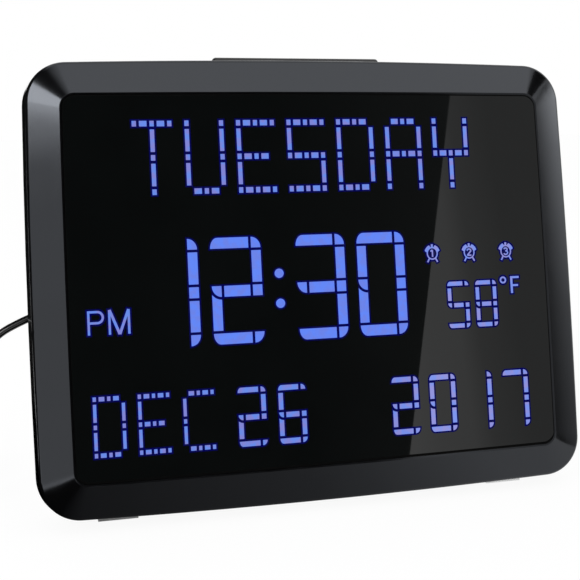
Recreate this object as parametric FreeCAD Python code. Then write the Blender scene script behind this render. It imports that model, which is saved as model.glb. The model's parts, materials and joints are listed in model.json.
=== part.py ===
"""Large-screen day clock: a sloped gloss frame round a flat window, on a fold-out stand.

Every piece is modelled upright first: X to the right of someone reading the clock, Y from
the window towards the back, Z up the face, with the zero at the centre of the window's
front. At the end each piece is leaned back onto the table. Millimetres and degrees.
"""
import FreeCAD, Part
import math
import os

V = FreeCAD.Vector

# ---- the face and the case -------------------------------------------------------------
face_width = 230.0  # across the outer crease of the sloped frame, at mid-height
face_height = 181.2
side_bow = 1.1  # how far each long edge bulges past its ends
top_bow = 1.8
corner_radius = 16.0
bevel_drop = 4.1  # from the window back to the crease
crease_round = 1.6
lip_width = 0.8  # flat rim between the window and the slope
lip_round = 0.35
flare = 1.3  # the side wall widens by this much from the crease to the parting line
bezel_depth = 15.6
groove = 0.6  # open line between bezel and rear housing
groove_depth = 0.9
spigot_length = 2.0
spigot_gap = 0.15
spigot_thick = 1.4
case_depth = 30.0
back_draft = 2.6  # the rear housing narrows by this much towards the back
back_round = 4.0
wall = 2.2
lean = 11.4  # degrees back from upright
least_corner = 0.6  # no corner of an outline is sharper, however far it is shrunk
join = 0.1  # pieces that are moulded as one run this far into each other
past = 1.0  # a hole or pocket is cut from this far outside its wall

# ---- window and display stack ----------------------------------------------------------
frame_side = 13.9  # from the window's edge out to the crease, at each side
frame_top = 14.9  # the same above and below
lens_bow = 0.5
lens_corner = 5.0
lens_thick = 1.5
lens_gap = 0.15
tape_thick = 0.3
tape_inset = 0.4  # from each edge of the ledge
ledge_width = 5.0
ledge_thick = 1.6
hollow_step = 0.5  # behind the ledge the hollow starts this far outside the window
seat_gap = 0.2  # between the ledge and the glass behind it
glass_overlap = 1.3  # the panel reaches this far behind the ledge
contact_ledge = 3.4  # strip of rear glass left bare for the ribbon
front_glass = 1.4
rear_glass = 1.4
film_thick = 0.3
guide_thick = 2.6
tray_wall = 2.0
tray_floor = 1.5
tray_gap = 0.3
tray_ear = 4.5  # half the height of a screw ear
tray_ear_end = 0.6  # from the boss's edge to the ear's end
tray_rib_inset = 12.3  # from the tray's edge to its stiffening rib
tray_rib = 0.8  # half a rib's thickness
tray_rib_height = 1.2
led_count = 12
led_length = 3.0
led_pitch = 9.6
led_depth = 0.6
guide_gap = 0.3  # between the lamps and the light guide
strip_thick = 1.0
strip_slip = 0.1  # in front of the lamp board and behind it
led_slip = 0.3
led_notch = 0.6  # radius of the light guide's notch at each lamp

# ---- screws ----------------------------------------------------------------------------
screw_radius = 1.45
screw_hole = 1.5
head_radius = 2.7
head_height = 1.6
head_gap = 0.4
clear_hole = 1.7
boss_radius = 3.0
case_boss_radius = 3.6
boss_skin = 1.6  # left in front of a blind screw hole
tray_screw_tip = 2.2  # from the ledge's back to the screw's tip
case_screw_tip = 3.0
post_skin = 0.5
board_screw_tip = 1.2
screw_bite = 4.0  # how far a board screw goes into its post
tray_screw_z = 52.0
tray_screw_inset = 8.5  # from the crease to the screw
case_screw_side = 27.0  # from the crease to the screw
case_screw_inset = 10.6
case_screw_grip = 3.2  # from the parting line to the head's seat

# ---- boards ----------------------------------------------------------------------------
board_thick = 1.6
board_standoff = 2.9
board_width = 100.0
board_bay_gap = 5.0  # between the main board and the battery bay
board_z = (-50.0, 28.0)
board_edge = 6.0  # screws stand this far in from a board's edge
switch_size = 6.0
switch_body = 3.4
plunger_radius = 1.7
plunger_height = 1.0
key_travel = 0.8  # the record's range for every key
press_spare = 0.2  # left between a pressed cap and its switch
key_post_out = 2.0  # from the last key's half pitch out to the post
key_post_skin = 1.0
key_board_half = 7.0
key_board_end = 4.0  # from a screw to the board's end
# on the main board, from its middle: left, right, low, high, and how far it stands up
board_blocks = [
    (-7.0, 7.0, -7.0, 7.0, 1.6),  # controller
    (14.0, 20.0, -4.0, 4.0, 1.5),  # memory
    (-38.0, -27.0, 14.0, 18.0, 2.5),  # crystal
    (-39.0, -34.0, -32.0, -16.0, 2.6),  # connector
]
capacitor_places = [(-26.0, -12.0), (-33.0, -12.0)]
capacitor_radius = 2.5
capacitor_height = 5.0

# ---- keys ------------------------------------------------------------------------------
key_count = 6
key_pitch = 17.0
key_width = 11.0
key_height = 6.5
key_proud = 1.0
key_drop = 32.6  # from the top crease to the row of keys
key_round = 1.4
key_edge_round = 0.5
key_gap = 0.35
key_flange = 1.3
flange_thick = 1.2
snooze_width = 74.0
snooze_front = 0.7  # from the parting line back to the bar's flange
snooze_back = 0.3  # from the flange back to the rear wall's inside
snooze_switch_x = 18.0
snooze_proud = 4.6
snooze_gap = 0.3
snooze_corner = 1.8
snooze_round = 1.6
shelf_inset = 7.0  # from the bar's end to the middle of a shelf
shelf_half = 3.5
shelf_front = 1.5  # from the parting line back to a shelf
shelf_skin = 0.5
shelf_drop = 5.0
ribbon_half = 30.0
small_ribbon_half = 6.0
ribbon_thick = 0.3
ribbon_slot_side = 1.0  # the tray's slot is this much wider at each side of the ribbon
ribbon_slot_back = 0.6
ribbon_clear = 1.2  # from the tray's lower edge down to the ribbon
ribbon_margin = 0.5  # the ribbon stops this far short of the front glass
ribbon_end = 2.0  # how far the display's ribbon reaches onto the main board
key_ribbon_side = 18.0  # from the main board's right end to the ribbon's middle
ribbon_stand = 2.5  # from the key board forwards to the ribbon that passes it
ribbon_lap = 4.0  # how far a ribbon reaches onto a board

# ---- stand -----------------------------------------------------------------------------
leg_width = 58.0
leg_tip_width = 46.0
leg_thick = 4.2
leg_open = 23.2  # degrees between the open leg and the back
leg_pivot_z = 8.0
leg_corner = 5.0
leg_clear = 2.0  # the leg's end stays this far up from the table, measured along it
leg_skin = 1.6
leg_rim = 2.2
leg_rib = 1.4
leg_web_top = 2.0  # solid web between the barrel and the first bay
leg_web_foot = 3.0
heel_round = 1.5
leg_rib_count = 3
barrel_radius = 3.2
barrel_gap = 0.3  # between the barrel and the recess floor
heel_gap = 0.2  # between the heel and the floor when the leg is open
pin_radius = 1.5
pin_gap = 0.05
pin_seat_gap = 0.02
pin_end_gap = 0.3
recess_depth = 7.2
recess_gap = 0.8
recess_wall = 2.0
ear_depth = 4.0
foot_length = 7.0
foot_proud = 0.5
pad_width = 16.0
pad_length = 7.0
pad_sink = 0.8
pad_gap = 0.1
pad_side = 31.0  # from the crease to the pad's middle
pad_y = 21.5
pad_stand = 2.3  # from the underside at a pad down to the table

# ---- power -----------------------------------------------------------------------------
jack_side = 47.0  # from the left crease in to the mouth of the jack
jack_z = -7.6
jack_body = 11.0
jack_length = 12.0
jack_radius = 3.2
jack_depth = 9.6
jack_pin_radius = 0.95
jack_pin_back = 0.4  # from the mouth in to the pin's tip
plug_barrel_radius = 2.75
plug_bore_radius = 1.1
plug_gap = 0.3
plug_radius = 4.4
plug_length = 12.0
plug_round = 0.9
plug_ring_count = 3
plug_ring_start = 4.0
plug_ring_pitch = 2.2
plug_ring_width = 1.0
plug_ring_depth = 0.4
plug_short = 0.4  # the barrel stops this far before the jack's end
plug_clear = 0.8  # from the pocket's floor to the plug
relief_length = 20.0
relief_radius = 3.0
relief_tip_radius = 2.1
relief_rings = 5
relief_ring = 1.2  # width of a ring cut round it
relief_core = 0.3  # left round the cord under a ring
cord_radius = 1.5
pocket_height = 20.0  # room for the fingers above and below the plug
pocket_depth = 11.0
pocket_wall = 1.5
notch_height = 6.4
notch_drop = 6.2  # from the jack's axis down to the notch's lower edge
notch_depth = 8.8  # from the back
notch_reach = 3.0  # how far it is cut in past the side wall

# ---- battery bay -----------------------------------------------------------------------
cell_radius = 5.25
cell_length = 44.5
nub_radius = 1.9
nub_length = 1.0
cell_gap = 0.35
cell_seat_gap = 0.1  # between the cells and the bay's floor
bay_spare = 0.15  # the bay is this much deeper than a cell
bay_end = 3.25  # room for the contacts at each end
bay_offset = 4.9  # the bay stands this far left of the middle between stand and side
bay_rise = 34.1  # from the bottom crease to the bay's middle
bay_wall = 3.0
door_thick = 1.9
door_rebate = 2.8  # the ledge round the bay that carries the door
door_seat_gap = 0.1
door_gap = 0.3
nail_radius = 12.0
nail_depth = 1.1
grip_count = 4
grip_pitch = 2.2
grip_radius = 0.7
grip_lift = 0.28  # a grip line's axis lies this far outside the lid
grip_half = 8.0
grip_start = 3.0  # from the bay's end to the first line
contact_thick = 0.4
contact_size = 8.6
spring_radii = (3.6, 2.4)  # of the contact at a cell's flat end, at its root and its tip
button_radii = (2.2, 1.6)  # of the contact at the nub

# ---- buzzer and sensor -----------------------------------------------------------------
buzzer_side = 35.0  # from the left crease
buzzer_z = 44.0
buzzer_radius = 8.0
buzzer_height = 5.5
buzzer_gap = 0.2
buzzer_rim = 1.3
buzzer_ring = 4.0  # how far its ring stands up from the back
buzzer_port = 1.2
sound_hole = 0.9
sound_ring = 4.2
sound_count = 6
vent_side = 31.0  # from the right crease
vent_z = 42.0
vent_width = 12.0
vent_slot = 1.2
vent_pitch = 3.0
sensor_width = 6.0
sensor_depth = 2.5
sensor_inset = 0.2  # from the bead to the slots beside it

# ---- stiffening ribs inside the back ---------------------------------------------------
rib_height = 2.5
rib_thick = 1.4
rib_low = -28.0
rib_middle = 24.0
rib_drop = 20.6  # from the top crease to the upper rib
rib_side = 53.0  # from a side crease to the upright rib

# ---- keyholes for hanging on a wall ----------------------------------------------------
keyhole_side = 39.0  # from the crease
keyhole_z = 8.0
keyhole_head = 4.0
keyhole_slot = 2.0
keyhole_rise = 8.0
keyhole_depth = 5.0
keyhole_wall = 1.4

# ---- wall adapter and put-away cord ----------------------------------------------------
adapter_length = 38.0  # from the blades' face to the front
adapter_depth = 26.0  # away from the cord
adapter_height = 24.0
adapter_round = 3.0
adapter_seam = 11.0  # from the blades' face to the line between the two halves
seam_width = 0.6
seam_depth = 0.5
blade_length = 16.0
blade_width = 6.3
blade_thick = 1.5
blade_round = 1.5
blade_hole = 1.5
blade_hole_end = 4.0  # from the tip to the hole's middle
blade_spacing = 12.7
coil_radius = 18.0  # to the middle of the turns
coil_layers = 4
coil_rows = 3
coil_pitch = 3.05  # from one turn to the next
coil_turns = 11.75
coil_stub = 12.0  # straight run where the cord joins the ring
tail_length = 5.0

# Where the cord runs, from the tip of its strain relief: out through the notch, down, and
# along the table. The last two points take their height from the table.
cord_route = [
    (0.0, 0.0, 0.0),
    (-8.0, 0.0, 0.0),
    (-16.6, -0.2, -4.2),
    (-25.5, -0.7, -10.7),
    (-32.4, -1.4, -21.7),
    (-35.9, -2.0, -37.4),
    (-37.8, -1.9, -54.3),
    (-43.3, -1.1, -67.1),
]
cord_landing = [(-57.0, 0.0), (-72.0, 0.0)]

# ---- what follows from the driving dimensions ------------------------------------------
half_width = face_width / 2
half_height = face_height / 2
outer_width, outer_height = half_width + flare + past, half_height + flare + past
lens_width = face_width - 2 * frame_side
lens_height = face_height - 2 * frame_top
lens_seat = lens_thick + tape_thick
ledge_back = lens_seat + ledge_thick
glass_y = ledge_back + seat_gap
panel_back = glass_y + front_glass + rear_glass
guide_y = panel_back + film_thick
guide_back = guide_y + guide_thick
stack_back = guide_back + film_thick
tray_back = stack_back + tray_floor
panel_half = (lens_width / 2 - ledge_width + glass_overlap, lens_height / 2 - ledge_width + glass_overlap)
tray_half = (panel_half[0] + tray_gap + tray_wall, panel_half[1] + tray_gap + tray_wall)
housing_y = bezel_depth + groove
back_inner = case_depth - wall
board_y = tray_back + board_standoff
press_gap = key_travel + press_spare  # a cap at rest stands this far off its switch
flange_front, flange_back = housing_y + snooze_front, back_inner - snooze_back
snooze_y = (flange_front + flange_back) / 2
snooze_depth = flange_back - flange_front - 2 * key_flange
key_z = half_height - key_drop
pad_x = half_width - pad_side
jack_x = jack_side - half_width
buzzer_x = buzzer_side - half_width
vent_x = half_width - vent_side
keyhole_x = half_width - keyhole_side
lean_sin = math.sin(math.radians(lean))
lean_cos = math.cos(math.radians(lean))
key_board_y = back_inner - key_gap - flange_thick - press_gap - plunger_height - switch_body - board_thick
tray_screw_x = half_width - tray_screw_inset
tray_screws = [(s * tray_screw_x, k * tray_screw_z) for s in (-1, 1) for k in (-1, 0, 1)]
case_screw_z = half_height - case_screw_inset
case_screw_x = half_width - case_screw_side
case_screws = [(s * case_screw_x, u * case_screw_z) for s in (-1, 1) for u in (-1, 1)]
case_screws.append((0.0, -case_screw_z))


def housing_grow(y):
    """How far the rear housing's wall stands outside the crease outline at depth y."""
    return flare - back_draft * (y - housing_y) / (case_depth - housing_y)


# from the middle down to the underside at a pad, which is a little above its lowest line
pad_under = half_height + housing_grow(pad_y) - top_bow * (pad_x / half_width) ** 2
pad_seat = pad_sink - pad_under
table_drop = pad_y * lean_sin + pad_under * lean_cos + pad_stand  # from the middle to the table
recess_floor = case_depth - recess_depth
pivot_y = recess_floor + barrel_radius + barrel_gap
leg_sin = math.sin(math.radians(leg_open))
leg_cos = math.cos(math.radians(leg_open))
leg_back = pivot_y + barrel_radius
leg_front = leg_back - leg_thick
# the heel's front corner comes this far above the pin so that it meets the floor when open
heel_height = (pivot_y - recess_floor - heel_gap + (leg_front - pivot_y) * leg_cos) / leg_sin
pin_height = table_drop + leg_pivot_z * lean_cos - pivot_y * lean_sin
leg_reach = pin_height / math.cos(math.radians(leg_open - lean))  # from the pin to the table
recess_half = leg_width / 2 + recess_gap
recess_top = leg_pivot_z + heel_height + recess_gap
ear_half = recess_half + ear_depth
bay_half_x = cell_length / 2 + bay_end
bay_half_z = 2 * cell_radius + 1.5 * cell_gap
bay_floor = back_inner - 2 * cell_radius - bay_spare
bay_centre_x = (ear_half + half_width) / 2 - bay_offset
bay_z = bay_rise - half_height
door_end_x = bay_centre_x - bay_half_x - door_rebate + join  # the rebate's end nearest the stand
board_right = bay_centre_x - bay_half_x - bay_wall - board_bay_gap
board_x = (board_right - board_width, board_right)
key_ribbon_x = board_right - key_ribbon_side
pocket_floor = case_depth - pocket_depth
plug_y = pocket_floor + plug_radius + plug_clear
relief_x = jack_x - plug_gap - plug_length - relief_length


# ---- small builders --------------------------------------------------------------------
def box(x0, x1, y0, y1, z0, z1):
    """Block between two corners."""
    return Part.makeBox(x1 - x0, y1 - y0, z1 - z0, V(x0, y0, z0))


def rod_y(x, z, y0, y1, radius, end_radius=None):
    """Round bar, or a taper, that runs front to back."""
    if end_radius is None:
        return Part.makeCylinder(radius, y1 - y0, V(x, y0, z), V(0, 1, 0))
    return Part.makeCone(radius, end_radius, y1 - y0, V(x, y0, z), V(0, 1, 0))


def rod_x(x0, x1, y, z, radius, end_radius=None):
    """Round bar, or a taper, that runs across the clock."""
    if end_radius is None:
        return Part.makeCylinder(radius, x1 - x0, V(x0, y, z), V(1, 0, 0))
    return Part.makeCone(radius, end_radius, x1 - x0, V(x0, y, z), V(1, 0, 0))


def rod_z(x, y, z0, z1, radius):
    """Round bar that runs up the face."""
    return Part.makeCylinder(radius, z1 - z0, V(x, y, z0), V(0, 0, 1))


def fuse(shapes):
    """One solid from several that meet."""
    return shapes[0].multiFuse(shapes[1:]).removeSplitter() if len(shapes) > 1 else shapes[0]


def runs(edge, way):
    """Whether a straight edge runs along an axis."""
    return abs(edge.tangentAt(edge.FirstParameter).dot(way)) > 0.99


def rounded_bar(x0, x1, y0, y1, z0, z1, radius, along):
    """Block whose four edges along one axis are rounded."""
    block = box(x0, x1, y0, y1, z0, z1)
    return block.makeFillet(radius, [e for e in block.Edges if runs(e, along)])


def bowed_outline(half_w, half_h, bow_w, bow_h, radius, grow, y):
    """Closed outline of four bowed edges and four corner arcs, grown evenly by `grow`, at depth y."""
    rise = (half_w**2 + bow_h**2) / (2 * bow_h)  # radius of the top and bottom arcs
    swell = (half_h**2 + bow_w**2) / (2 * bow_w)  # radius of the side arcs
    top_c = (0.0, half_h - rise)
    side_c = (half_w - swell, 0.0)
    rise, swell, radius = rise + grow, swell + grow, max(radius + grow, least_corner)
    # the corner arc's centre lies rise-radius from one centre and swell-radius from the other
    a, b = rise - radius, swell - radius
    dx, dz = side_c[0] - top_c[0], side_c[1] - top_c[1]
    apart = math.hypot(dx, dz)
    along = (a * a - b * b + apart * apart) / (2 * apart)
    off = math.sqrt(a * a - along * along)
    corner = max(
        (
            (top_c[0] + (along * dx - s * off * dz) / apart, top_c[1] + (along * dz + s * off * dx) / apart)
            for s in (-1, 1)
        ),
        key=lambda p: p[0] + p[1],
    )

    def from_centre(centre, reach):
        length = math.hypot(corner[0] - centre[0], corner[1] - centre[1])
        k = reach / length
        return centre[0] + (corner[0] - centre[0]) * k, centre[1] + (corner[1] - centre[1]) * k

    t_top = from_centre(top_c, rise)
    t_side = from_centre(side_c, swell)
    mid_dir = (t_top[0] + t_side[0] - 2 * corner[0], t_top[1] + t_side[1] - 2 * corner[1])
    mid_len = math.hypot(*mid_dir)
    reach = radius / mid_len
    t_mid = (corner[0] + mid_dir[0] * reach, corner[1] + mid_dir[1] * reach)

    def at(p, sx, sz):
        return V(p[0] * sx, y, p[1] * sz)

    top, side = (0.0, half_h + grow), (half_w + grow, 0.0)
    arcs = [
        (at(t_top, -1, 1), at(top, 1, 1), at(t_top, 1, 1)),
        (at(t_top, 1, 1), at(t_mid, 1, 1), at(t_side, 1, 1)),
        (at(t_side, 1, 1), at(side, 1, 1), at(t_side, 1, -1)),
        (at(t_side, 1, -1), at(t_mid, 1, -1), at(t_top, 1, -1)),
        (at(t_top, 1, -1), at(top, 1, -1), at(t_top, -1, -1)),
        (at(t_top, -1, -1), at(t_mid, -1, -1), at(t_side, -1, -1)),
        (at(t_side, -1, -1), at(side, -1, 1), at(t_side, -1, 1)),
        (at(t_side, -1, 1), at(t_mid, -1, 1), at(t_top, -1, 1)),
    ]
    return Part.Wire([Part.Arc(*three).toShape() for three in arcs])


def case_line(grow, y):
    """The crease outline, grown or shrunk, at depth y."""
    return bowed_outline(half_width, half_height, side_bow, top_bow, corner_radius, grow, y)


def lens_line(grow, y):
    """The window's outline, grown or shrunk, at depth y."""
    return bowed_outline(lens_width / 2, lens_height / 2, lens_bow, lens_bow, lens_corner, grow, y)


def between(front, back):
    """Solid between two outlines at different depths."""
    return Part.makeLoft([front, back], True, True)


def plate(line, grow, y0, y1):
    """Flat plate with one outline, from y0 back to y1."""
    return Part.Face(line(grow, y0)).extrude(V(0, y1 - y0, 0))


def flat_edges(shape, y, test=None):
    """Edges that lie at depth y."""
    return [
        e
        for e in shape.Edges
        if all(abs(v.Y - y) < 1e-4 for v in e.Vertexes) and (test is None or test(e.CenterOfMass))
    ]


def screw_y(x, z, head_y, tip_y):
    """Screw with its head towards the back, driven forwards."""
    head = rod_y(x, z, head_y, head_y + head_height, head_radius)
    return fuse([head, rod_y(x, z, tip_y, head_y, screw_radius)])


# ---- front -----------------------------------------------------------------------------
def make_front_bezel():
    """Sloped frame with a seat for the window and bosses behind."""
    slope = between(lens_line(lens_gap + lip_width, 0), case_line(0, bevel_drop))
    side = between(case_line(0, bevel_drop), case_line(flare, bezel_depth))
    body = slope.fuse(side)
    body = body.makeFillet(crease_round, flat_edges(body, bevel_drop))
    body = body.makeFillet(lip_round, flat_edges(body, 0))
    inner_y = bevel_drop + crease_round
    hollow = [
        plate(lens_line, lens_gap, -past, lens_seat),
        plate(lens_line, -ledge_width, 0, ledge_back + join),
        between(lens_line(hollow_step, ledge_back), case_line(-wall, inner_y)),
        between(case_line(-wall, inner_y), case_line(flare - wall, bezel_depth)),
    ]
    body = body.cut(hollow[0]).cut(hollow[1]).cut(hollow[2].fuse(hollow[3]))
    boss_y = ledge_back - join
    bosses = [rod_y(x, z, boss_y, stack_back, boss_radius) for x, z in tray_screws]
    bosses += [rod_y(x, z, boss_y, bezel_depth, case_boss_radius) for x, z in case_screws]
    body = body.multiFuse(bosses)
    holes = [rod_y(x, z, ledge_back + boss_skin, stack_back + past, screw_hole) for x, z in tray_screws]
    holes += [rod_y(x, z, ledge_back + boss_skin, bezel_depth + past, screw_hole) for x, z in case_screws]
    for hole in holes:
        body = body.cut(hole)
    return body


def make_lens():
    return plate(lens_line, 0, 0, lens_thick)


def make_lens_tape():
    ring = plate(lens_line, -tape_inset, lens_thick, lens_seat)
    return ring.cut(plate(lens_line, tape_inset - ledge_width, lens_thick - past, lens_seat + past))


# ---- display stack ---------------------------------------------------------------------
def make_lcd_panel():
    """Two glasses; the front one stops short, leaving a strip of contacts along the bottom."""
    w, h = panel_half
    rear = box(-w, w, glass_y + front_glass, panel_back, -h, h)
    return rear.fuse(box(-w, w, glass_y, glass_y + front_glass, contact_ledge - h, h)).removeSplitter()


def make_diffuser():
    w, h = panel_half
    return box(-w, w, panel_back, guide_y, -h, h)


guide_left = -panel_half[0] + strip_thick + led_depth + guide_gap


def make_light_guide():
    """Clear plate, notched along the left edge where each lamp shines in."""
    w, h = panel_half
    body = box(guide_left, w, guide_y, guide_back, -h, h)
    for k in range(led_count):
        z = (k - (led_count - 1) / 2) * led_pitch
        body = body.cut(rod_y(guide_left, z, guide_y - past, guide_back + past, led_notch))
    return body


def make_reflector():
    w, h = panel_half
    return box(-w, w, guide_back, stack_back, -h, h)


def make_backlight_board():
    w = panel_half[0]
    reach = (led_count - 1) / 2 * led_pitch + led_length
    return box(-w, -w + strip_thick, guide_y + strip_slip, guide_back - strip_slip, -reach, reach)


def make_backlight_leds():
    x0 = -panel_half[0] + strip_thick
    lamps = []
    for k in range(led_count):
        z0 = (k - (led_count - 1) / 2) * led_pitch - led_length / 2
        span = (guide_y + led_slip, guide_back - led_slip, z0, z0 + led_length)
        lamps.append(box(x0, x0 + led_depth, *span))
    return Part.makeCompound(lamps)


def make_display_tray():
    """Open tray behind the stack, with six ears for its screws and posts for the main board."""
    w, h = tray_half
    body = box(-w, w, glass_y, tray_back, -h, h)
    inner_w, inner_h = w - tray_wall, h - tray_wall
    body = body.cut(box(-inner_w, inner_w, glass_y - past, stack_back, -inner_h, inner_h))
    ears = []
    for x, z in tray_screws:
        reach = abs(x) + boss_radius + tray_ear_end
        x0, x1 = (-reach, -inner_w) if x < 0 else (inner_w, reach)
        ears.append(box(x0, x1, stack_back, tray_back, z - tray_ear, z + tray_ear))
    posts = [rod_y(x, z, stack_back, board_y, boss_radius) for x, z in board_screw_places()]
    rib_z, rib_top = h - tray_rib_inset, tray_back + tray_rib_height
    ribs = [box(-w, w, tray_back - join, rib_top, z - tray_rib, z + tray_rib) for z in (-rib_z, rib_z)]
    body = body.multiFuse(ears + posts + ribs)
    for x, z in tray_screws:
        body = body.cut(rod_y(x, z, stack_back - past, tray_back + past, clear_hole))
    for x, z in board_screw_places():
        body = body.cut(rod_y(x, z, stack_back + post_skin, board_y + past, screw_hole))
    slot_half, slot_back = ribbon_half + ribbon_slot_side, glass_y + front_glass + ribbon_slot_back
    slot = box(-slot_half, slot_half, glass_y - past, slot_back, -h - past, join - inner_h)
    return body.cut(slot).removeSplitter()


def make_tray_screws():
    tip = ledge_back + tray_screw_tip
    return Part.makeCompound([screw_y(x, z, tray_back, tip) for x, z in tray_screws])


def make_display_ribbon():
    """Flat cable from the glass, round the tray's bottom edge, to the main board."""
    h = panel_half[1]
    top_y = glass_y + front_glass - ribbon_thick
    low = -tray_half[1] - ribbon_clear
    x0, x1 = -ribbon_half, ribbon_half
    on_glass = box(x0, x1, top_y, top_y + ribbon_thick, low, contact_ledge - h - ribbon_margin)
    under = box(x0, x1, top_y, board_y, low, low + ribbon_thick)
    up = box(x0, x1, board_y - ribbon_thick, board_y, low, board_z[0] + ribbon_end)
    return fuse([on_glass, under, up])


# ---- boards ----------------------------------------------------------------------------
def board_screw_places():
    """The main board's four screws; it stands left of the battery bay."""
    xs = (board_x[0] + board_edge, board_x[1] - board_edge)
    zs = (board_z[0] + board_edge, board_z[1] - board_edge)
    return [(x, z) for x in xs for z in zs]


def make_main_board():
    body = box(board_x[0], board_x[1], board_y, board_y + board_thick, board_z[0], board_z[1])
    for x, z in board_screw_places():
        body = body.cut(rod_y(x, z, board_y - past, board_y + board_thick + past, clear_hole))
    return body


def make_board_parts():
    """Controller, memory, crystal, two capacitors and a connector on the main board."""
    y = board_y + board_thick
    x, z = (board_x[0] + board_x[1]) / 2, (board_z[0] + board_z[1]) / 2
    made = [box(x + x0, x + x1, y, y + up, z + z0, z + z1) for x0, x1, z0, z1, up in board_blocks]
    top = y + capacitor_height
    made += [rod_y(x + dx, z + dz, y, top, capacitor_radius) for dx, dz in capacitor_places]
    return Part.makeCompound(made)


def make_board_screws():
    seat, tip = board_y + board_thick, stack_back + board_screw_tip
    return Part.makeCompound([screw_y(x, z, seat, tip) for x, z in board_screw_places()])


key_xs = [(k - (key_count - 1) / 2) * key_pitch for k in range(key_count)]
key_post_x = key_xs[-1] + key_pitch / 2 + key_post_out
key_board_back = key_board_y + board_thick


def make_key_board():
    half, low, high = key_post_x + key_board_end, key_z - key_board_half, key_z + key_board_half
    body = box(-half, half, key_board_y, key_board_back, low, high)
    for s in (-1, 1):
        hole = (key_board_y - past, key_board_back + past, clear_hole)
        body = body.cut(rod_y(s * key_post_x, key_z, *hole))
    return body


def make_key_switches():
    y = key_board_back
    half = switch_size / 2
    made = []
    for x in key_xs:
        body = box(x - half, x + half, y, y + switch_body, key_z - half, key_z + half)
        y1 = y + switch_body
        made.append(fuse([body, rod_y(x, key_z, y1, y1 + plunger_height, plunger_radius)]))
    return Part.makeCompound(made)


def make_key_board_screws():
    """Driven backwards into the posts of the rear housing."""
    made = []
    for s in (-1, 1):
        x = s * key_post_x
        head = rod_y(x, key_z, key_board_y - head_height, key_board_y, head_radius)
        made.append(fuse([head, rod_y(x, key_z, key_board_y, key_board_back + screw_bite, screw_radius)]))
    return Part.makeCompound(made)


def make_key_ribbon():
    """Flat cable from the key board's front down to the back of the main board."""
    x0, x1 = key_ribbon_x - small_ribbon_half, key_ribbon_x + small_ribbon_half
    back, front = key_board_y, board_y + board_thick
    mid = (back + front) / 2
    high, low = key_z - ribbon_lap, board_z[1] - ribbon_lap
    return fuse(
        [
            box(x0, x1, mid, mid + ribbon_thick, low, high),
            box(x0, x1, mid, back, high - ribbon_thick, high),
            box(x0, x1, front, mid, low, low + ribbon_thick),
        ]
    )


# the lowest part of the top wall's inside over the flange, less its clearance
snooze_bow = top_bow * (snooze_width / face_width) ** 2
snooze_flange_top = half_height + flare - back_draft - wall - snooze_bow - snooze_gap
snooze_board_top = snooze_flange_top - flange_thick - press_gap - plunger_height - switch_body
snooze_board_low = snooze_board_top - board_thick
snooze_board_front = key_board_y - ribbon_stand
shelf_x = snooze_width / 2 - shelf_inset


def make_snooze_board():
    half = shelf_x + key_board_end
    body = box(-half, half, snooze_board_front, back_inner, snooze_board_low, snooze_board_top)
    for x in (-shelf_x, shelf_x):
        body = body.cut(rod_z(x, snooze_y, snooze_board_low - past, snooze_board_top + past, clear_hole))
    return body


def make_snooze_switches():
    half = switch_size / 2
    made = []
    for s in (-1, 1):
        x = s * snooze_switch_x
        top = snooze_board_top + switch_body
        body = box(x - half, x + half, snooze_y - half, snooze_y + half, snooze_board_top, top)
        made.append(fuse([body, rod_z(x, snooze_y, top, top + plunger_height, plunger_radius)]))
    return Part.makeCompound(made)


def make_snooze_board_screws():
    made = []
    for s in (-1, 1):
        head = rod_z(s * shelf_x, snooze_y, snooze_board_top, snooze_board_top + head_height, head_radius)
        shank = rod_z(s * shelf_x, snooze_y, snooze_board_low - screw_bite, snooze_board_top, screw_radius)
        made.append(fuse([head, shank]))
    return Part.makeCompound(made)


def make_snooze_ribbon():
    """Flat cable from the snooze board down to the front of the key board."""
    w, y0, low = small_ribbon_half, snooze_board_front, key_z + ribbon_lap
    return fuse(
        [
            box(-w, w, y0, y0 + ribbon_thick, low, snooze_board_low),
            box(-w, w, y0, y0 + ribbon_lap, snooze_board_low - ribbon_thick, snooze_board_low),
            box(-w, w, y0, key_board_y, low, low + ribbon_thick),
        ]
    )


# ---- rear housing ----------------------------------------------------------------------
screw_seat = bezel_depth + case_screw_grip
sound_holes = [(buzzer_x, buzzer_z)]
for turn in [2 * math.pi * k / sound_count for k in range(sound_count)]:
    sound_holes.append((buzzer_x + sound_ring * math.cos(turn), buzzer_z + sound_ring * math.sin(turn)))


def bay_block(grow, y0, y1):
    """Block round the battery bay's inside."""
    x, z = bay_half_x + grow, bay_half_z + grow
    return box(bay_centre_x - x, bay_centre_x + x, y0, y1, bay_z - z, bay_z + z)


def pocket_block(grow, y0):
    """Block round the plug's pocket, which is open at the back."""
    x1 = jack_x + (jack_length if grow else 0) + grow
    half = pocket_height / 2 + grow
    x0 = -half_width + (0 if grow else wall + pocket_wall)
    return box(x0, x1, y0, case_depth + (0 if grow else past), jack_z - half, jack_z + half)


def keyhole_slot_block(x, half, y0, y1):
    """Upright slot with a round top, where the hanging screw's shank or head travels."""
    top = keyhole_z + keyhole_rise
    return box(x - half, x + half, y0, y1, keyhole_z, top).fuse(rod_y(x, top, y0, y1, half))


def pad_block(side, grow):
    """A pad with its top let into the underside; it runs on below the table plane."""
    half_x, half_y = pad_width / 2 + grow, pad_length / 2 + grow
    x = side * pad_x
    low = pad_seat - pad_sink - pad_stand - pad_length
    return box(x - half_x, x + half_x, pad_y - half_y, pad_y + half_y, low, pad_seat)


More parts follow.
